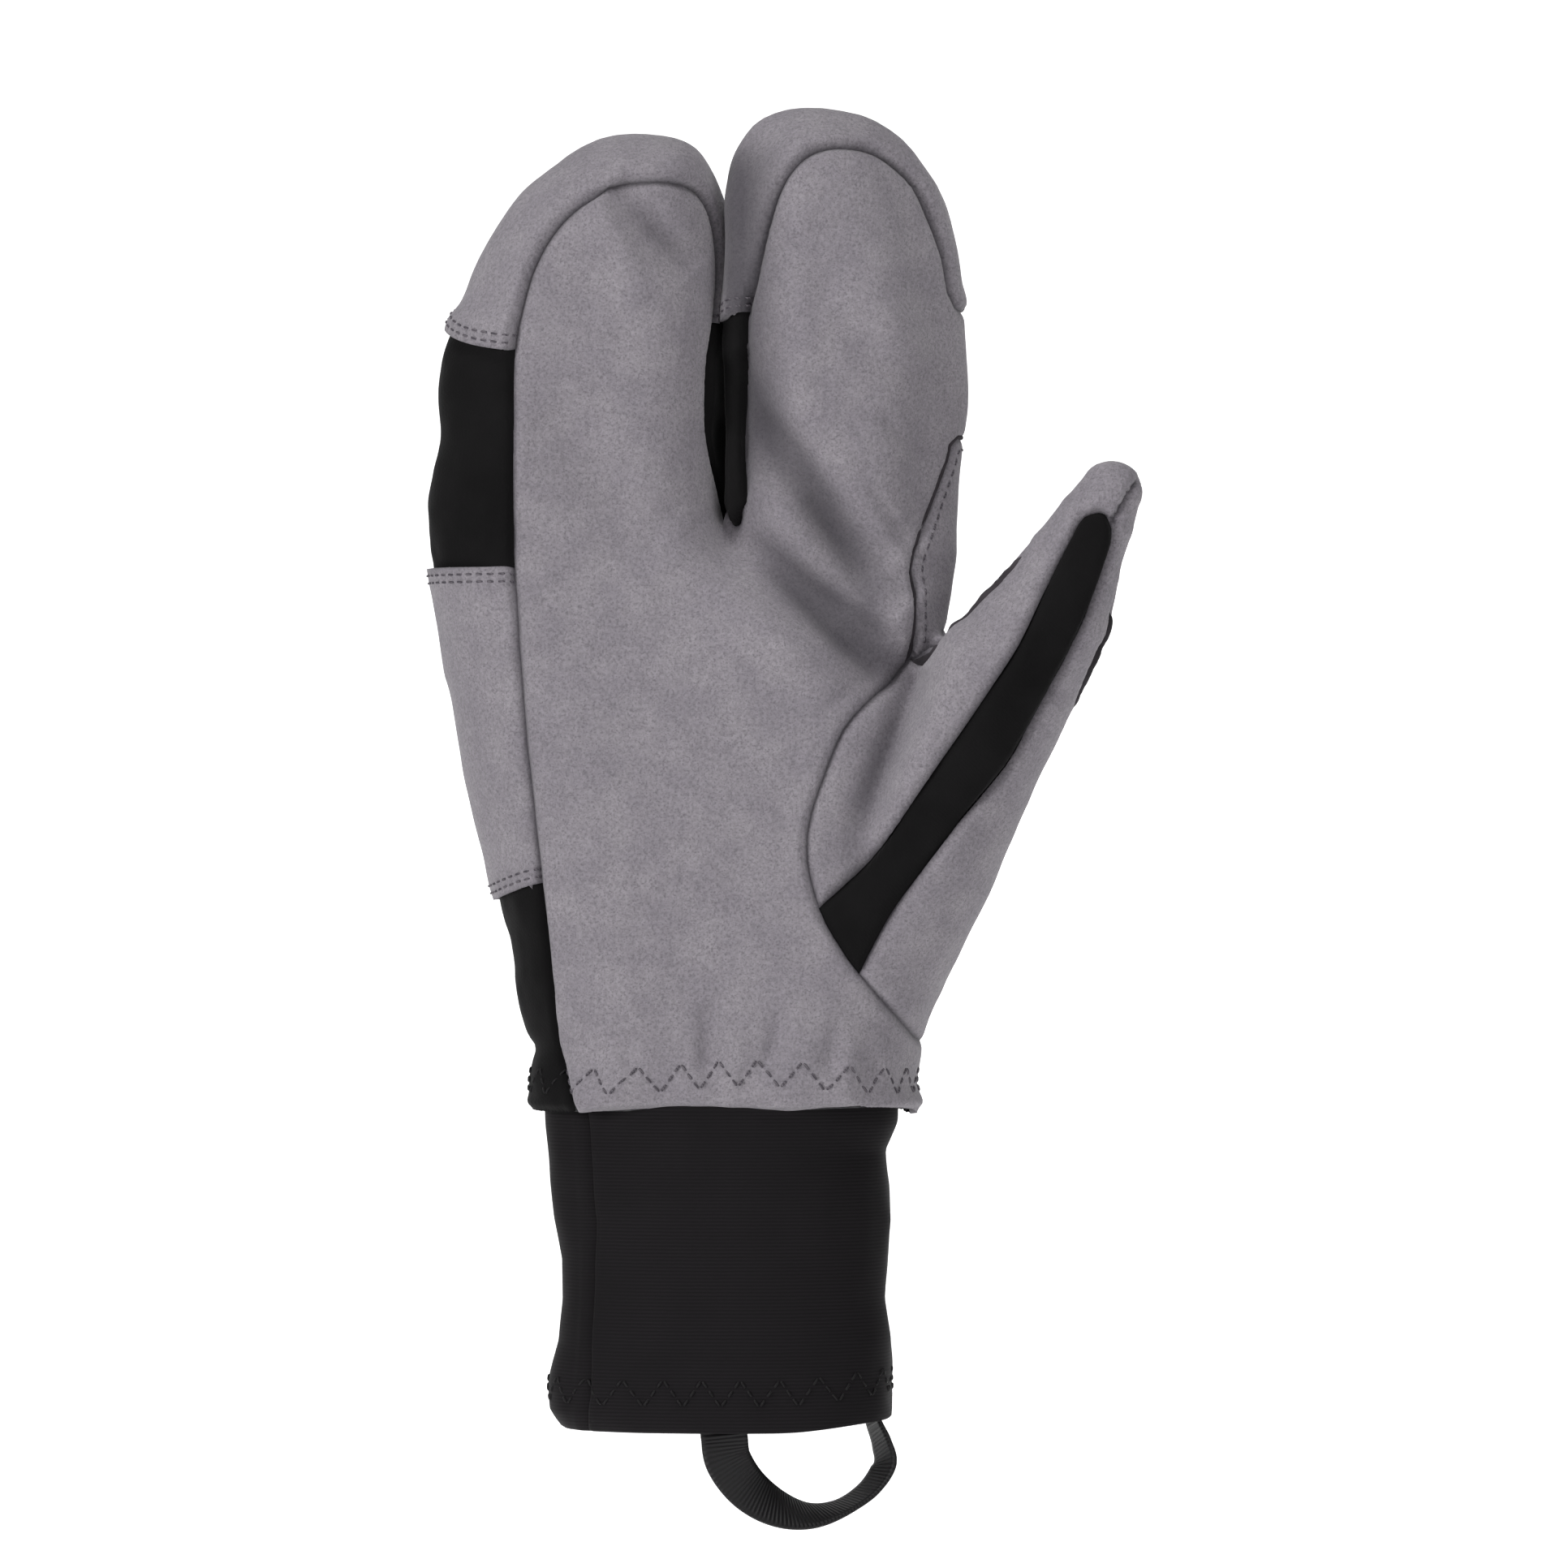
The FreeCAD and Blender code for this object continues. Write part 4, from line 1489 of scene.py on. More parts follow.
CUTTINGS = (
    Cutting("palm_front", Piece.PALM, "hand", ("palm_panel",), (102, 140, 119)),
    Cutting("ring_little_front", Piece.PALM, "ring", ("ring_little_palm_panel",), (56, 84, 42)),
    Cutting("index_middle_front", Piece.PALM, "index", ("index_middle_palm_panel",), (64, 92, 52)),
    Cutting("ring_little_cap", Piece.RING_CAP, "ring", ("ring_little_tip_cap",), (112, 60, 55)),
    Cutting("index_middle_cap", Piece.INDEX_CAP, "index", ("index_middle_tip_cap",), (108, 60, 52)),
    Cutting(
        "ring_little_stretch", Piece.KNUCKLE, "ring",
        ("ring_little_knuckle_panel", "ring_little_fourchette", "ring_little_wadding"), (126, 50, 60),
    ),
    Cutting(
        "index_middle_stretch", Piece.KNUCKLE, "index",
        ("index_middle_knuckle_panel", "index_middle_fourchette", "index_middle_wadding"), (92, 48, 42),
    ),
    Cutting(
        "knuckle_band", Piece.KNUCKLE, "hand",
        ("knuckle_bridge", "finger_crotch_web"), (156, 13, 19),
    ),
    Cutting("back_band", Piece.BAND, "hand", ("hand_back_band", "hand_wadding"), (156, 78, 112)),
    Cutting("wrist_back", Piece.WRIST, "hand", ("wrist_back_panel",), (138, 54, 68)),
    Cutting("side_patch", Piece.SIDE_PATCH, "hand", ("index_side_panel",), (32, 36, 10)),
    Cutting("side_patch_upper", Piece.SIDE_PATCH, "index", (), (26, 24, 5.1)),
    Cutting(
        "thumb_base_inner", Piece.THUMB_INNER, "base",
        ("thumb_base_inner_panel",), (32, 74, 16.4),
    ),
    Cutting("thumb_base_stretch", Piece.THUMB_STRIP, "base", ("thumb_base_strip",), (18, 78, 12.8)),
    Cutting(
        "thumb_base_outer", Piece.THUMB_OUTER, "base",
        ("thumb_base_outer_panel",), (36, 86, 23),
    ),
    Cutting("thumb_base_back", Piece.THUMB_BACK, "base", (), (68, 98, 52)),
    Cutting(
        "thumb_inner", Piece.THUMB_INNER, "free",
        ("thumb_inner_panel", "thumb_tip_cap"), (22, 60, 9.2),
    ),
    Cutting(
        "thumb_stretch", Piece.THUMB_STRIP, "free",
        ("thumb_strip", "thumb_wadding"), (16, 54, 7.6),
    ),
    Cutting("thumb_outer", Piece.THUMB_OUTER, "free", ("thumb_outer_panel",), (20, 56, 7.8)),
    Cutting("thumb_back", Piece.THUMB_BACK, "free", (), (46, 66, 27.6)),
)  # fmt: skip


@dataclass
class Mover:
    """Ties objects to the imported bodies."""

    panels: BodyPanels
    thumb_give: float = 28.0  # the length of the thumb that bends
    ring_middle: float = -32.0
    index_middle: float = 28.0

    def side_of(self, points: Array, piece: Piece) -> Array:
        """The side that each place of a panel goes with.

        Args:
            points: places on the panel.
            piece: the panel.

        Returns:
            One of the words that Cutting.side uses, for each place.
        """
        thumb = piece in (
            Piece.THUMB_INNER, Piece.THUMB_STRIP, Piece.THUMB_OUTER, Piece.THUMB_BACK,
        )  # fmt: skip
        if thumb:
            along = self.panels.form.thumb.local(points)[:, 2]
            return np.where(along < self.panels.thumb_split, "base", "free")
        middle = self.panels.form.gap_middle(points)
        side = np.where(points[:, 0] < middle, "ring", "index")
        return np.where(points[:, 2] < self.panels.form.crotch, "hand", side)

    def tie(self, item: MeshObject, side: str, whole: bool = False) -> None:
        """Lets an object move with its body; where it would bend between two, its transform is only baked
        in.

        Args:
            item: the object.
            side: one of the words that Cutting.side uses.
            whole: whether it lies beyond the bend and moves as one with the outer body.
        """
        body = {"ring": "ring_little", "index": "index_middle", "free": "thumb"}.get(side)
        if body is None:
            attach(item, "palm")
        elif whole:
            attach(item, body)
        elif side == "free":
            axes = self.panels.form.thumb
            start = axes.world(0, 0, self.panels.thumb_split) * MM
            end = axes.world(0, 0, self.panels.thumb_split + self.thumb_give) * MM
            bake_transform(item)
        else:
            x = (self.ring_middle if side == "ring" else self.index_middle) * MM
            start = (x, 0.0, self.panels.form.crotch * MM)
            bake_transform(item)


@dataclass
class GloveBody:
    """The whole body: panels, raw edges and stitches."""

    finishes: dict[str, Material]
    panels: BodyPanels = field(default_factory=BodyPanels)
    lining_foot: float = 13.5
    facing_top: float = 14.5
    facing_depth: float = 1.6

    def build(self) -> None:
        """Makes the panels and everything that is sewn on them."""
        mover = Mover(self.panels)
        values = self.panels.form.field_values()
        skin, chosen = self.panels.cut(self.panels.form.surface(values, 0.0))
        room = SewingRoom(self.panels, self.finishes)
        by_piece = {panel.piece: panel for panel in room.sew(skin, chosen)}
        for cutting in CUTTINGS:
            self.make_cutting(cutting, by_piece[cutting.piece], room, mover)
        needle = Needlework(by_piece, mover, self.finishes)
        needle.rows()
        needle.raw_edges()
        needle.hem_zigzag()
        self.line(values, mover)
        self.face_hem(values)

    def face_hem(self, values: Array) -> None:
        """Makes the turned hem inside the wrist, over the elastic.

        Args:
            values: the form's signed distances.
        """
        clear = 0.2  # how far it stays above the cut edge
        skin = self.panels.form.surface(values, -self.facing_depth)
        skin = skin.split_along(self.panels.hem_line(skin.points) - clear)
        skin = skin.split_along(skin.points[:, 2] - self.facing_top)
        middles = skin.middles()
        kept = (self.panels.hem_line(middles) > clear) & (middles[:, 2] < self.facing_top)
        part = skin.part(kept)
        item = mesh_object("hem_facing", part.points, part.faces[:, ::-1], self.finishes["fleece"])
        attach(item, "palm")
        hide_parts("wrist_elastic")

    def make_cutting(
        self, cutting: Cutting, panel: SewnPanel, room: SewingRoom, mover: Mover
    ) -> None:
        """Makes one object from its share of a panel.

        Args:
            cutting: what the object is.
            panel: the shaped panel.
            room: what adds the hide's thickness.
            mover: what ties it to a body.
        """
        points, directions, faces, shade = room.skirted(panel)
        side = mover.side_of(points[faces].mean(axis=1), cutting.piece)
        used, back = np.unique(faces[side == cutting.side], return_inverse=True)
        kind = "suede" if cutting.piece in SUEDE else "softshell"
        item = mesh_object(
            cutting.name, points[used], back.reshape(-1, 3), self.finishes[kind], directions[used],
            # the dark seam lines and the painted shade that the suede mixes in
            {"seam_line_and_painted_shade": shade[used]},
        )  # fmt: skip
        mover.tie(item, cutting.side, cutting.piece in CAPS)
        if cutting.stands_for:
            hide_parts(*cutting.stands_for)
        LOG.info("%s: %d points", cutting.name, len(used))

    def line(self, values: Array, mover: Mover) -> None:
        """Makes the fleece lining inside the skin.

        Args:
            values: the form's signed distances.
            mover: what ties each share to a body.
        """
        form = self.panels.form
        skin = form.surface(values, -form.lining_depth)
        for line in (
            lambda p: p[:, 2] - self.lining_foot,
            lambda p: p[:, 2] - form.crotch,
            lambda p: form.thumb.local(p)[:, 2] - self.panels.thumb_split,
            self.panels.thumb_edge,
        ):
            skin = skin.split_along(line(skin.points))
        middles = skin.middles()
        on_thumb = self.panels.thumb_edge(middles) < 0
        along = form.thumb.local(middles)[:, 2]
        side = mover.side_of(middles, Piece.PALM)
        side = np.where(on_thumb & (along > self.panels.thumb_split), "free", side)
        side = np.where(on_thumb & (along <= self.panels.thumb_split), "hand", side)
        side = np.where(middles[:, 2] < self.lining_foot, "", side)
        nodes = (
            ("hand", "hand_lining", (270, 125, 313)),
            ("ring", "ring_little_lining", (142, 92, 117)),
            ("index", "index_middle_lining", (126, 92, 103)),
            ("free", "thumb_lining", (52, 56, 22.7)),
        )
        for name, node, cut in nodes:
            part = skin.part(side == name)
            item = mesh_object(
                f"{node}_fleece", part.points, part.faces[:, ::-1], self.finishes["fleece"]
            )
            mover.tie(item, name)
            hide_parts(node)


# ---------------------------------------------------------------- stitches and raw edges


@dataclass(frozen=True)
class StitchRun:
    """Lockstitches of one thread: their length, the gap between them and the thread's radius."""

    length: float = 2.1
    gap: float = 0.75
    radius: float = 0.25

    def along(self, line: Array) -> Array:
        """Places stitches along a line.

        Args:
            line: rows of point and outward direction.

        Returns:
            One row per stitch: its start, its end and its outward direction.
        """
        spacing = 0.25
        fine = evenly(line, spacing)
        step = round((self.length + self.gap) / spacing)
        span = round(self.length / spacing)
        starts = np.arange(0, len(fine) - span, step)
        if not len(starts):
            return np.zeros((0, 9))
        a, b, middle = fine[starts], fine[starts + span], fine[starts + span // 2]
        return np.hstack([a[:, :3], b[:, :3], middle[:, 3:]])

    def mesh(self, stitches: Array) -> tuple[Array, Array]:
        """Makes a short arched thread for each stitch, with both ends drawn into the cloth.

        Args:
            stitches: rows from along().

        Returns:
            The points and the quads.
        """
        start, end, up = stitches[:, :3], stitches[:, 3:6], stitches[:, 6:]
        run = end - start
        side = unit(np.cross(unit(run), up))
        over = np.cross(side, unit(run))
        shares = np.array([0.0, 0.12, 0.32, 0.68, 0.88, 1.0])
        girth = np.array([0.45, 0.9, 1.0, 1.0, 0.9, 0.45]) * self.radius
        height = np.array([-0.42, 0.0, 0.14, 0.14, 0.0, -0.42])
        sides = 6
        turns = np.arange(sides) * 2 * math.pi / sides
        rings = []
        for share, radius, rise in zip(shares, girth, height):
            middle = start + run * share + over * rise
            for turn in turns:
                rings.append(middle + radius * (side * math.cos(turn) + over * math.sin(turn)))
        points = np.stack(rings, axis=1)
        quads = np.array(grid_quads(len(shares), sides, closed=True))
        first = (np.arange(len(start)) * points.shape[1])[:, None, None]
        return points.reshape(-1, 3), (quads[None] + first).reshape(-1, 4)


def bead(line: Array, width: float, height: float) -> tuple[Array, Array]:
    """A flattened round strip along a line, such as the raw edge of a seam.

    Args:
        line: rows of point and outward direction.
        width: its width over the surface.
        height: its height off the surface.

    Returns:
        The points and the quads.
    """
    sides, spacing, taper = 8, 0.8, 4  # the last is how many rows thin out at each end
    fine = evenly(line, spacing)
    along = unit(np.gradient(fine[:, :3], axis=0))
    up = unit(fine[:, 3:] - (fine[:, 3:] * along).sum(axis=1, keepdims=True) * along)
    side = np.cross(along, up)
    count = len(fine)
    row = np.arange(count)
    thin = np.minimum(ease(row, -1, taper), ease(-row, -count, taper - count))
    rough = 1 + 0.22 * drift(fine[:, :3], 2.2, 21)
    points = []
    for k in range(sides):
        turn = k * 2 * math.pi / sides
        reach = side * math.cos(turn) * width / 2 + up * math.sin(turn) * height / 2
        points.append(fine[:, :3] + reach * (thin * rough)[:, None])
    rows = np.stack(points, axis=1)
    return rows.reshape(-1, 3), np.array(grid_quads(count, sides, closed=True, flipped=True))


@dataclass(frozen=True)
class StitchRow:
    """A row of stitches at a distance from one kind of seam on one panel."""

    piece: Piece
    seam: Seam
    distance: float


STITCH_ROWS = (
    *(StitchRow(cap, Seam.LAPPED, distance) for cap in CAPS for distance in (1.5, 3.2)),
    StitchRow(Piece.BAND, Seam.LAPPED, 1.6),
    StitchRow(Piece.BAND, Seam.LAPPED, 3.3),
    StitchRow(Piece.SIDE_PATCH, Seam.RAW, 2.4),
)
# Panel, distance from the seam, width, height and the stretch of the thumb that it shows on.
RAW_EDGES = (
    (Piece.PALM, 0.35, 1.1, 1.0, (-200, 200)),
    (Piece.THUMB_INNER, 0.35, 1.3, 4.2, (44, 84)),
    (Piece.THUMB_OUTER, 0.35, 1.3, 4.2, (54, 82)),
)


@dataclass
class Needlework:
    """The stitch rows, raw edges and zigzags on the body and the cuff."""

    sewn: dict[Piece, SewnPanel]
    mover: Mover
    finishes: dict[str, Material]
    zigzag_period: float = 9.15

    def distance_to(self, panel: SewnPanel, seam: Seam) -> Array:
        """The panel's distances to one kind of seam."""
        return getattr(panel, f"to_{seam.name.lower()}")

    def rows(self) -> None:
        """Sews every stitch row."""
        run = StitchRun()
        kept: dict[tuple[Piece, str], list[Array]] = {}
        for row in STITCH_ROWS:
            panel = self.sewn[row.piece]
            for line in contours(panel.skin, self.distance_to(panel, row.seam), row.distance):
                stitches = run.along(line)
                if not len(stitches):
                    continue
                middles = (stitches[:, :3] + stitches[:, 3:6]) / 2
                sides = self.mover.side_of(middles, row.piece)
                if row.piece in CAPS:
                    sides[:] = "ring" if row.piece is Piece.RING_CAP else "index"
                for side in np.unique(sides):
                    kept.setdefault((row.piece, str(side)), []).append(stitches[sides == side])
        for (piece, side), groups in kept.items():
            points, quads = run.mesh(np.vstack(groups))
            name = f"{piece.name.lower()}_{side}_stitches"
            item = mesh_object(name, points, quads, self.finishes["grey_thread"])
            self.mover.tie(item, side, piece in CAPS)
            LOG.info("%s: %d stitches", name, sum(len(group) for group in groups))

    def raw_edges(self) -> None:
        """Lays the dark raw edges along the outside seams."""
        for piece, distance, width, height, (low, high) in RAW_EDGES:
            panel = self.sewn[piece]
            gathered: dict[str, list] = {}
            for line in contours(panel.skin, panel.to_raw, distance):
                sides = self.mover.side_of(line[:, :3], piece)
                along = self.mover.panels.form.thumb.local(line[:, :3])[:, 2]
                shown = (along > low) & (along < high)
                for side in np.unique(sides):
                    rows = np.flatnonzero((sides == side) & shown)
                    for run in np.split(rows, np.flatnonzero(np.diff(rows) > 1) + 1):
                        if len(run) > 12:
                            gathered.setdefault(str(side), []).append(line[run])
            for side, lines in gathered.items():
                name = f"{piece.name.lower()}_{side}_raw_edge"
                self.lay_beads(name, side, lines, (width, height))

    def lay_beads(
        self, name: str, side: str, lines: list[Array], size: tuple[float, float]
    ) -> None:
        """Makes one object from several beads.

        Args:
            name: its name.
            side: the side it moves with.
            lines: the lines it follows.
            size: the width and height of each bead.
        """
        points, quads, count = [], [], 0
        for line in lines:
            some, faces = bead(line, *size)
            points.append(some)
            quads.append(faces + count)
            count += len(some)
        item = mesh_object(name, np.vstack(points), np.vstack(quads), self.finishes["raw_edge"])
        self.mover.tie(item, side)

    def zigzag(
        self,
        tree: BVHTree,
        oval: tuple[float, float],
        heights: tuple[float, float],
        legs: tuple[float, float],
        rise: float = 0.0,
    ) -> Array:
        """Places the stitches of a zigzag round the wrist.

        Args:
            tree: the surface that it is sewn on.
            oval: half width and half depth of the oval that spaces it evenly.
            heights: its low and high corners.
            legs: the first and last turn about the wrist, in degrees from the palm's middle.
            rise: how much higher the zigzag runs at the palm's middle.

        Returns:
            One row per stitch: its start, its end and its outward direction.
        """
        turn = np.radians(np.linspace(legs[0], legs[1], 1500))
        ring = np.stack([oval[0] * np.sin(turn), -oval[1] * np.cos(turn)], 1)
        walked = np.concatenate([[0], np.cumsum(np.linalg.norm(np.diff(ring, axis=0), axis=1))])
        count = int(walked[-1] / (self.zigzag_period / 2))
        stitches = []
        for leg in range(count):
            ends = (leg * self.zigzag_period / 2, (leg + 1) * self.zigzag_period / 2)
            level = (heights[leg % 2], heights[(leg + 1) % 2])
            for part in range(3):
                pair = []
                for share in ((part + 0.1) / 3, (part + 0.9) / 3):
                    at = ends[0] + (ends[1] - ends[0]) * share
                    angle = np.interp(at, walked, turn)
                    lift = rise * math.exp(-(((angle - 0.15) / 0.5) ** 2))
                    height = level[0] + (level[1] - level[0]) * share + lift
                    pair.append(self.press(tree, angle, height))
                if None not in pair:
                    (a, up), (b, _) = pair
                    stitches.append([*a, *b, *up])
        return np.array(stitches)

    def press(self, tree: BVHTree, angle: float, height: float) -> tuple[Vector, Vector] | None:
        """Finds the surface from outside, straight in towards the wrist's middle.

        Args:
            tree: the surface.
            angle: the turn about the wrist in radians, from the palm's middle.
            height: the level in millimetres.

        Returns:
            The place and its outward direction, or None where there is no surface.
        """
        out = Vector((math.sin(angle) * 1.45, -math.cos(angle), 0.0))
        start = out * 70.0 + Vector((0, 0, height))
        place, normal, _, _ = tree.ray_cast(start, -out.normalized())
        if place is None:
            return None
        return place, normal if normal.dot(out) > 0 else -normal

    def hem_zigzag(self) -> None:
        """Sews the zigzag that holds the wrist's elastic."""
        points, faces, count = [], [], 0
        for panel in self.sewn.values():
            points.append(panel.skin.points)
            faces.append(panel.skin.faces + count)
            count += len(panel.skin.points)
        tree = BVHTree.FromPolygons(np.vstack(points).tolist(), np.vstack(faces).tolist())
        run = StitchRun(radius=0.27)
        stitches = self.zigzag(tree, (43.5, 29.0), (3.5, 9.7), (-180, 179), 2.2)
        dark = self.mover.panels.pieces_of(stitches[:, :3]) == Piece.WRIST.value
        for name, chosen, thread in (
            ("hem_zigzag_grey", ~dark, "grey_thread"),
            ("hem_zigzag_black", dark, "black_thread"),
        ):
            item = mesh_object(name, *run.mesh(stitches[chosen]), self.finishes[thread])
            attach(item, "palm")
            if thread == "grey_thread":
                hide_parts("wrist_zigzag_thread")


# ---------------------------------------------------------------- the cuff and its loop


@dataclass
class Cuff:
    """The ribbed stretch cuff: a front and a back panel, a turned hem and its zigzag."""

    finishes: dict[str, Material]
    top: float = 7.5
    foot: float = -71.6
    wall: float = 1.5
    girth: float = 2 * math.pi * 32
    hem_depth: float = 16.0
    squareness: float = 2.25
    blend_start: float = 0.002
    blend_end: float = -0.03
    around: int = 220
    rim_lift: float = 2.0  # how much higher the rim is on the index finger's side
    # Height, left side, right side and half depth.
    outline: tuple = (
        (-74, -36.6, 38.4, 24.3), (-72, -37.0, 38.4, 24.4), (-68.5, -39.2, 38.5, 24.8),
        (-63.8, -40.0, 38.9, 25.0), (-58, -38.6, 38.6, 24.8), (-52.7, -37.0, 38.2, 24.4),
        (-43.5, -36.3, 36.9, 23.4), (-34.2, -36.5, 37.4, 23.0), (-25, -38.3, 38.2, 23.6),
        (-16, -39.4, 37.8, 24.4), (-9.5, -39.9, 37.4, 25.0), (-3.0, -40.2, 39.9, 25.8),
        (8, -40.3, 40.3, 26.2),
    )  # fmt: skip
    seam_path: tuple = (
        (-74, -31.0), (-64.5, -30.5), (-51.5, -29.9), (-39, -29.3), (-25, -29.2), (-11, -30.2),
        (8, -32.0),
    )  # fmt: skip

    def ring(self, height: float, inset: float) -> Array:
        """The places round the cuff at one height.

        Args:
            height: the level in millimetres.
            inset: how far inside the outer face they lie.

        Returns:
            One place per step, from the front seam round by the right and back to it.
        """
        left, right, depth = (read_off(height, self.outline, k) for k in (1, 2, 3))
        half, middle = (right - left) / 2 - inset, (right + left) / 2
        depth -= inset
        seam = read_off(height, self.seam_path)
        share = min(max((seam - middle) / (half + inset), -0.99), 0.99)
        first = -math.asin(math.copysign(abs(share) ** (self.squareness / 2), -share))
        turn = first + np.linspace(0, 2 * math.pi, self.around, endpoint=False)
        power = 2 / self.squareness
        x = middle + half * np.sign(np.sin(turn)) * np.abs(np.sin(turn)) ** power
        y = -depth * np.sign(np.cos(turn)) * np.abs(np.cos(turn)) ** power
        return np.stack([x, y, np.full(len(x), height)], 1)

    def shape(self, points: Array, inner: bool) -> Array:
        """Moves the cuff's wall by its seams, its slack and the pull of its zigzag.

        Args:
            points: rings of places, one ring per row.
            inner: whether this is the inner face.

        Returns:
            The moved places.
        """
        middle = points.mean(axis=1, keepdims=True)
        out = points - middle
        out[..., 2] = 0
        out = unit(out)
        flat = points.reshape(-1, 3)
        rise = 0.7 * drift(flat * (1, 1, 0.45), 17.0, 31) + 0.35 * drift(flat, 8.0, 33)
        rise = rise.reshape(points.shape[:2])
        step = np.arange(self.around)
        for seam in (0, self.far_seam()):
            away = np.abs((step - seam + self.around / 2) % self.around - self.around / 2)
            away = away * self.girth / self.around
            groove = -0.85 * np.exp(-((away / 0.9) ** 2)) + 0.3 * np.exp(-(((away - 2.6) / 1.6) ** 2))
            rise += groove * (0.2 if inner else 1.0)
        hem = np.exp(-(((points[..., 2] + 64.4) / 2.2) ** 2))
        rise -= 0.35 * hem
        if inner:
            rise = rise * 0.6
        return points + out * rise[..., None]

    def far_seam(self) -> int:
        """The step of the seam on the index finger's side."""
        return round(self.around * 0.42)

    def wall_rows(self, rows: list[tuple[float, float]], inner: bool) -> Array:
        """The cuff's places for rows of height and inset, one ring per row."""
        return self.shape(np.stack([self.ring(h, inset) for h, inset in rows]), inner)

    def lower_edge(self, rows: Array) -> Array:
        """Lifts the rim a little towards the index finger's side."""
        share = ease(rows[..., 0], 12.0, 40.0) * ease(-rows[..., 2], 40.0, 72.0)
        rows[..., 2] += self.rim_lift * share
        return rows

    def panel(
        self, name: str, rows: Array, steps: Array, node: str, cut: tuple[float, float, float]
    ) -> None:
        """Makes one panel from a share of each ring.

        Args:
            name: its name.
            rows: rings of places.
            steps: the steps round the ring that it takes in.
            node: the CAD node that it stands for.
            cut: its flat width and length in millimetres and its area in square centimetres; not used.
        """
        grid = rows[:, steps % self.around]
        quads = grid_quads(*grid.shape[:2], closed=False, flipped=True)
        item = mesh_object(name, grid.reshape(-1, 3), quads, self.finishes["cuff"])
        self.tie(item)
        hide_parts(node)

    def tie(self, item: MeshObject) -> None:
        """Bakes the transform of a cuff panel into its mesh."""
        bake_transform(item)

    def build(self) -> None:
        """Makes the cuff's panels, its inner face and its zigzag."""
        outer = [(float(h), 0.0) for h in np.arange(self.top, self.foot, -1.1)]
        rim = [(self.foot - 0.5, 0.15), (self.foot - 0.95, 0.7), (self.foot - 1.05, 1.3)]
        rim += [(self.foot - 0.8, 1.9), (self.foot - 0.2, 2.3)]
        rows = self.lower_edge(self.wall_rows(outer + rim, False))
        far = self.far_seam()
        front = np.arange(0, far + 1)
        self.panel("cuff_front", rows, front, "cuff_front_panel", (89, 83, 73))
        back = np.arange(far, self.around + 1)
        self.panel("cuff_back", rows, back, "cuff_back_panel", (118, 83, 96))
        hem_top = self.foot + self.hem_depth
        levels = np.arange(self.foot - 0.2, hem_top, 1.1)
        facing = [(float(h), 2.3 if h < self.foot + 1 else 2.5) for h in levels]
        facing += [(hem_top, 2.3), (hem_top + 0.3, self.wall + 0.1)]
        facing += [(float(h), self.wall) for h in np.arange(hem_top + 1, self.top, 1.6)]
        inner = self.lower_edge(self.wall_rows(facing, True))
        inside = np.arange(0, self.around + 1)
        self.panel("cuff_inside", inner, inside, "cuff_hem_facing", (192, 80, 151))
        faces = grid_quads(len(rows), self.around, closed=True, flipped=True)
        self.sew_zigzag(BVHTree.FromPolygons(rows.reshape(-1, 3).tolist(), faces))
        LOG.info("cuff: %d rows", len(rows))

    def sew_zigzag(self, tree: BVHTree) -> None:
        """Sews the black zigzag above the rim.

        Args:
            tree: the cuff's outer face.
        """
        needle = Needlework({}, Mover(BodyPanels()), self.finishes)
        stitches = needle.zigzag(tree, (38.5, 25.0), (-66.6, -60.4), (-180, 179))
        stitches[:, [2, 5]] += self.rim_lift * ease(stitches[:, [0, 3]], 12.0, 40.0)
        item = mesh_object(
            "cuff_zigzag", *StitchRun(radius=0.3).mesh(stitches), self.finishes["black_thread"]
        )
        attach(item, "cuff")
        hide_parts("cuff_zigzag_thread")


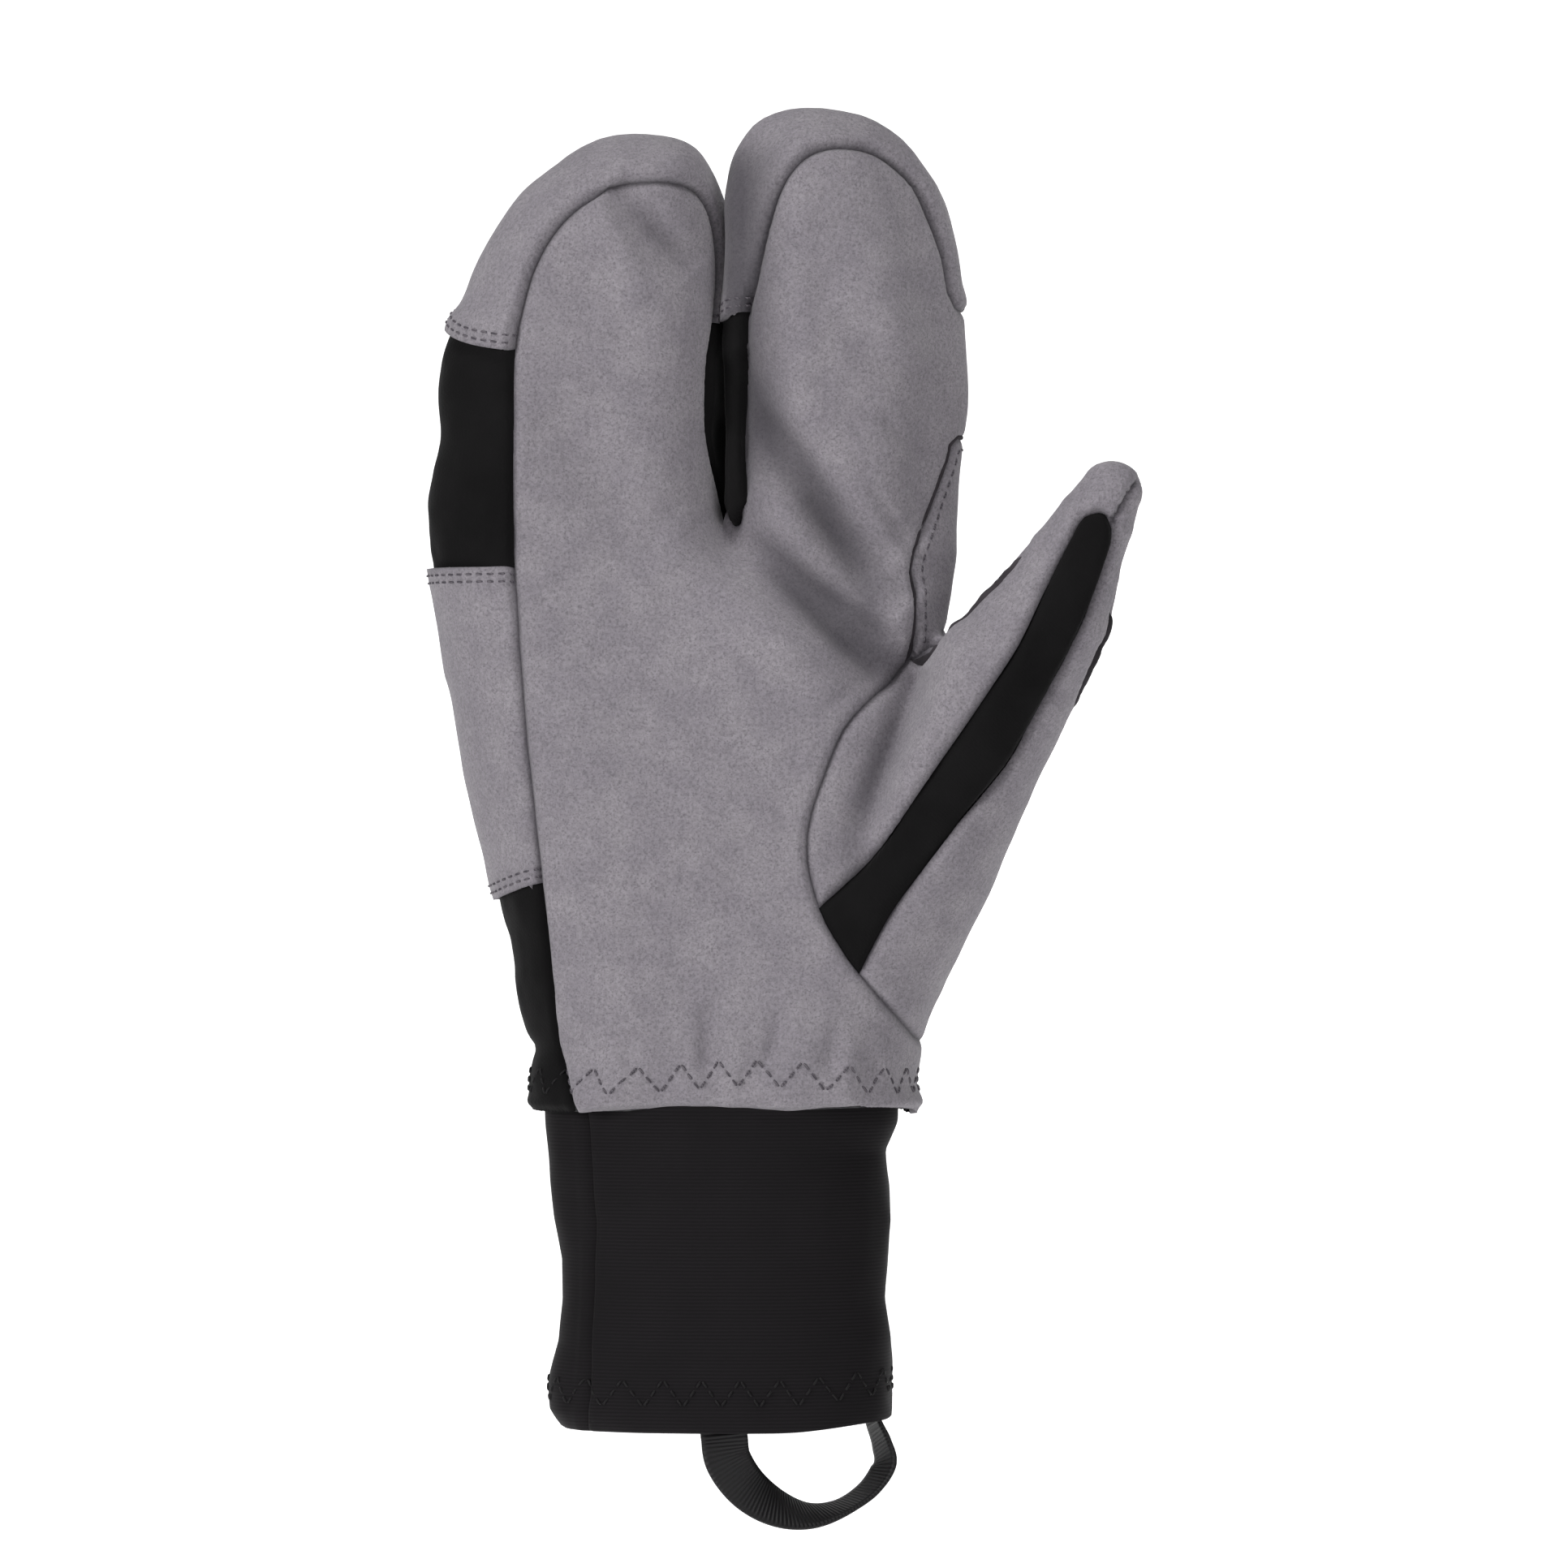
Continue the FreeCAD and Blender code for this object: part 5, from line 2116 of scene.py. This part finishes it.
@dataclass
class HangingLoop:
    """The flat ribbon loop under the cuff, which turns over as it comes round."""

    finishes: dict[str, Material]
    width: float = 10.6
    thickness: float = 0.9
    rim: float = -72.3
    bend_start: float = -0.0726  # metres, where the ribbon begins to swing
    bend_end: float = -0.0785
    spacing: float = 0.45
    # Place, and how far its face is turned from the palm, in degrees.
    path: tuple = (
        (0.3, -21.4, -64.0, 0), (0.3, -21.6, -69.0, 0), (0.6, -21.8, -73.5, 2),
        (1.6, -21.8, -79.0, 10), (6.0, -20.8, -85.2, 26), (12.5, -18.4, -89.6, 46),
        (20.0, -15.0, -91.4, 66), (27.2, -11.6, -90.0, 76), (33.2, -9.0, -86.2, 72),
        (36.8, -7.2, -80.8, 66), (36.2, -5.8, -76.0, 68), (34.2, -4.8, -70.5, 74),
        (33.2, -4.4, -64.0, 78),
    )  # fmt: skip

    def smooth_path(self) -> Array:
        """The path as evenly spaced rows of place and turn.

        Returns:
            Rows of x, y, z and the turn in degrees.
        """
        table = np.array(self.path, float)
        columns = [
            through(tuple(zip(range(len(table)), table[:, k])), False, 8)[:, 1] for k in range(4)
        ]
        return evenly(np.stack(columns, 1), self.spacing)

    def build(self) -> None:
        """Makes the ribbon and its two sewn ends."""
        path = self.smooth_path()
        along = unit(np.gradient(path[:, :3], axis=0))
        sideways = unit(np.stack([-along[:, 2], np.zeros(len(along)), along[:, 0]], 1))
        turn = np.radians(path[:, 3])[:, None]
        wide = sideways * np.cos(turn) + np.array([0, 1.0, 0]) * np.sin(turn)
        wide = unit(wide - (wide * along).sum(axis=1, keepdims=True) * along)
        thick = np.cross(along, wide)
        walked = np.arange(len(path)) * self.spacing
        half, deep = self.width / 2, self.thickness / 2
        section = [(s, 1.0) for s in np.linspace(-0.97, 0.97, 9)] + [(1.0, 0.0)]
        section += [(s, -1.0) for s in np.linspace(0.97, -0.97, 9)] + [(-1.0, 0.0)]
        rows = np.stack([path[:, :3] + wide * half * s + thick * deep * t for s, t in section], 1)
        low = np.flatnonzero(path[:, 2] < self.rim)
        first, last = low[0], low[-1]
        loop = slice(first, last + 1)
        item = self.strip("hang_ribbon", rows[loop], walked[loop])
        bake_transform(item)
        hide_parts("loop_ribbon")
        for name, share in (("left", slice(0, first + 1)), ("right", slice(last, None))):
            end = self.strip(f"ribbon_{name}_end", rows[share], walked[share])
            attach(end, "cuff")
            if name == "left":
                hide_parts("loop_sewn_ends")

    def strip(self, name: str, rows: Array, walked: Array) -> MeshObject:
        """Makes a closed flat strip from rows of section places.

        Args:
            name: its name.
            rows: section places, one section per row.
            walked: the distance along the ribbon at each row.

        Returns:
            The object.
        """
        high, wide = rows.shape[:2]
        quads = grid_quads(high, wide, closed=True)
        quads += [list(range(wide))[::-1], [(high - 1) * wide + c for c in range(wide)]]
        marks = {"along_mm": np.repeat(walked, wide)}
        item = mesh_object(name, rows.reshape(-1, 3), quads, self.finishes["grosgrain"], None, marks)
        item.data.validate()
        return item


@dataclass
class Studio:
    """A pale floor and backdrop, soft lights and the camera that faces the palm."""

    view_middle: tuple[float, float] = (0.01406, 0.0738)
    view_width: float = 0.3574
    distance: float = 2.0
    air_light: float = 0.1
    air_seen: float = 0.95
    floor_level: float = -1.95
    floor_half: float = 4.0
    wall_start: float = 3.2
    wall_bend: float = 0.8
    wall_top: float = 3.0
    # Name, place in metres, side in metres and power in watts.
    lights: tuple = (
        ("key", (-1.55, -1.15, 0.4), 0.65, 20.5),
        ("top", (0.0, -0.6, 1.9), 0.9, 15.0),
        ("fill", (1.25, -1.6, 0.25), 1.2, 11.5),
    )

    def build(self) -> None:
        """Makes the floor, the lights and the camera."""
        scene = bpy.context.scene
        scene.view_settings.view_transform = "Standard"
        scene.world = self.air()
        self.backdrop()
        for light in self.lights:
            self.soft_light(*light)
        lens = bpy.data.cameras.new("palm_camera")
        lens.lens = lens.sensor_width * self.distance / self.view_width
        camera = bpy.data.objects.new("palm_camera", lens)
        x, z = self.view_middle
        camera.location = (x, -self.distance, z)
        camera.rotation_euler = (math.radians(90), 0, 0)
        scene.collection.objects.link(camera)
        scene.camera = camera

    def backdrop(self) -> None:
        """Makes the floor, which curves up into a wall well behind the glove."""
        bend, steps = self.wall_bend, 12
        curve = [(-self.floor_half, self.floor_level)]
        for step in range(steps + 1):
            turn = math.radians(90 * step / steps)
            rise = bend - bend * math.cos(turn)
            curve.append((self.wall_start + bend * math.sin(turn), self.floor_level + rise))
        curve.append((self.wall_start + bend, self.wall_top))
        points = [(x, y, z) for y, z in curve for x in (-self.floor_half, self.floor_half)]
        looks = {
            "Base Color": linear("#fbfbfb"),
            "Roughness": 0.9,
            "Emission Color": linear("#ffffff"),
            "Emission Strength": 0.75,
        }
        paper = close(blank_material("matt_white_paper"), looks)
        quads = grid_quads(len(curve), 2, closed=False)
        mesh_object("floor", np.array(points) / MM, quads, paper)

    def air(self) -> bpy.types.World:
        """Makes the studio's even light, which looks pale where nothing else stands.

        Returns:
            The world, dim for the glove and near white in the background.
        """
        world = bpy.data.worlds.new("studio_air")
        world.use_nodes = True
        nodes, links = world.node_tree.nodes, world.node_tree.links
        nodes["Background"].inputs["Color"].default_value = (1, 1, 1, 1)
        path = nodes.new("ShaderNodeLightPath")
        level = nodes.new("ShaderNodeMapRange")
        level.inputs["To Min"].default_value = self.air_light
        level.inputs["To Max"].default_value = self.air_seen
        links.new(path.outputs["Is Camera Ray"], level.inputs["Value"])
        links.new(level.outputs["Result"], nodes["Background"].inputs["Strength"])
        return world

    def soft_light(
        self,
        name: str,
        place: tuple[float, float, float],
        size: float,
        power: float,
        aim: tuple[float, float, float] = (0.01, 0.0, 0.08),
    ) -> None:
        """Adds a square soft light.

        Args:
            name: its name.
            place: where it stands, in metres.
            size: the side of its square, in metres.
            power: its power in watts.
            aim: the place it faces.
        """
        light = bpy.data.lights.new(name, "AREA")
        light.size = size
        light.energy = power
        item = bpy.data.objects.new(name, light)
        item.location = place
        item.rotation_euler = (Vector(aim) - Vector(place)).to_track_quat("-Z", "Y").to_euler()
        bpy.context.scene.collection.objects.link(item)


def finishes() -> dict[str, Material]:
    """Builds every finish once."""
    return {
        "suede": GoatSuede().build(),
        "softshell": StretchSoftshell().build(),
        "cuff": RibbedSoftshell().build(),
        "grosgrain": Grosgrain().build(),
        "grey_thread": TwistedThread("grey_thread", "#6b666c", "#47434a").build(),
        "black_thread": TwistedThread("black_thread", "#161416", "#0a090a").build(),
        "fleece": BrushedFleece().build(),
        "raw_edge": StretchSoftshell("raw_hide_edge", "#4b464b", "#2b282b").build(),
    }


def main() -> None:
    """Builds the glove and its studio."""
    logging.basicConfig(level=logging.INFO, format="%(name)s %(message)s")
    materials = finishes()
    GloveBody(materials).build()
    Cuff(materials).build()
    HangingLoop(materials).build()
    Studio().build()


if __name__ == "__main__":
    main()
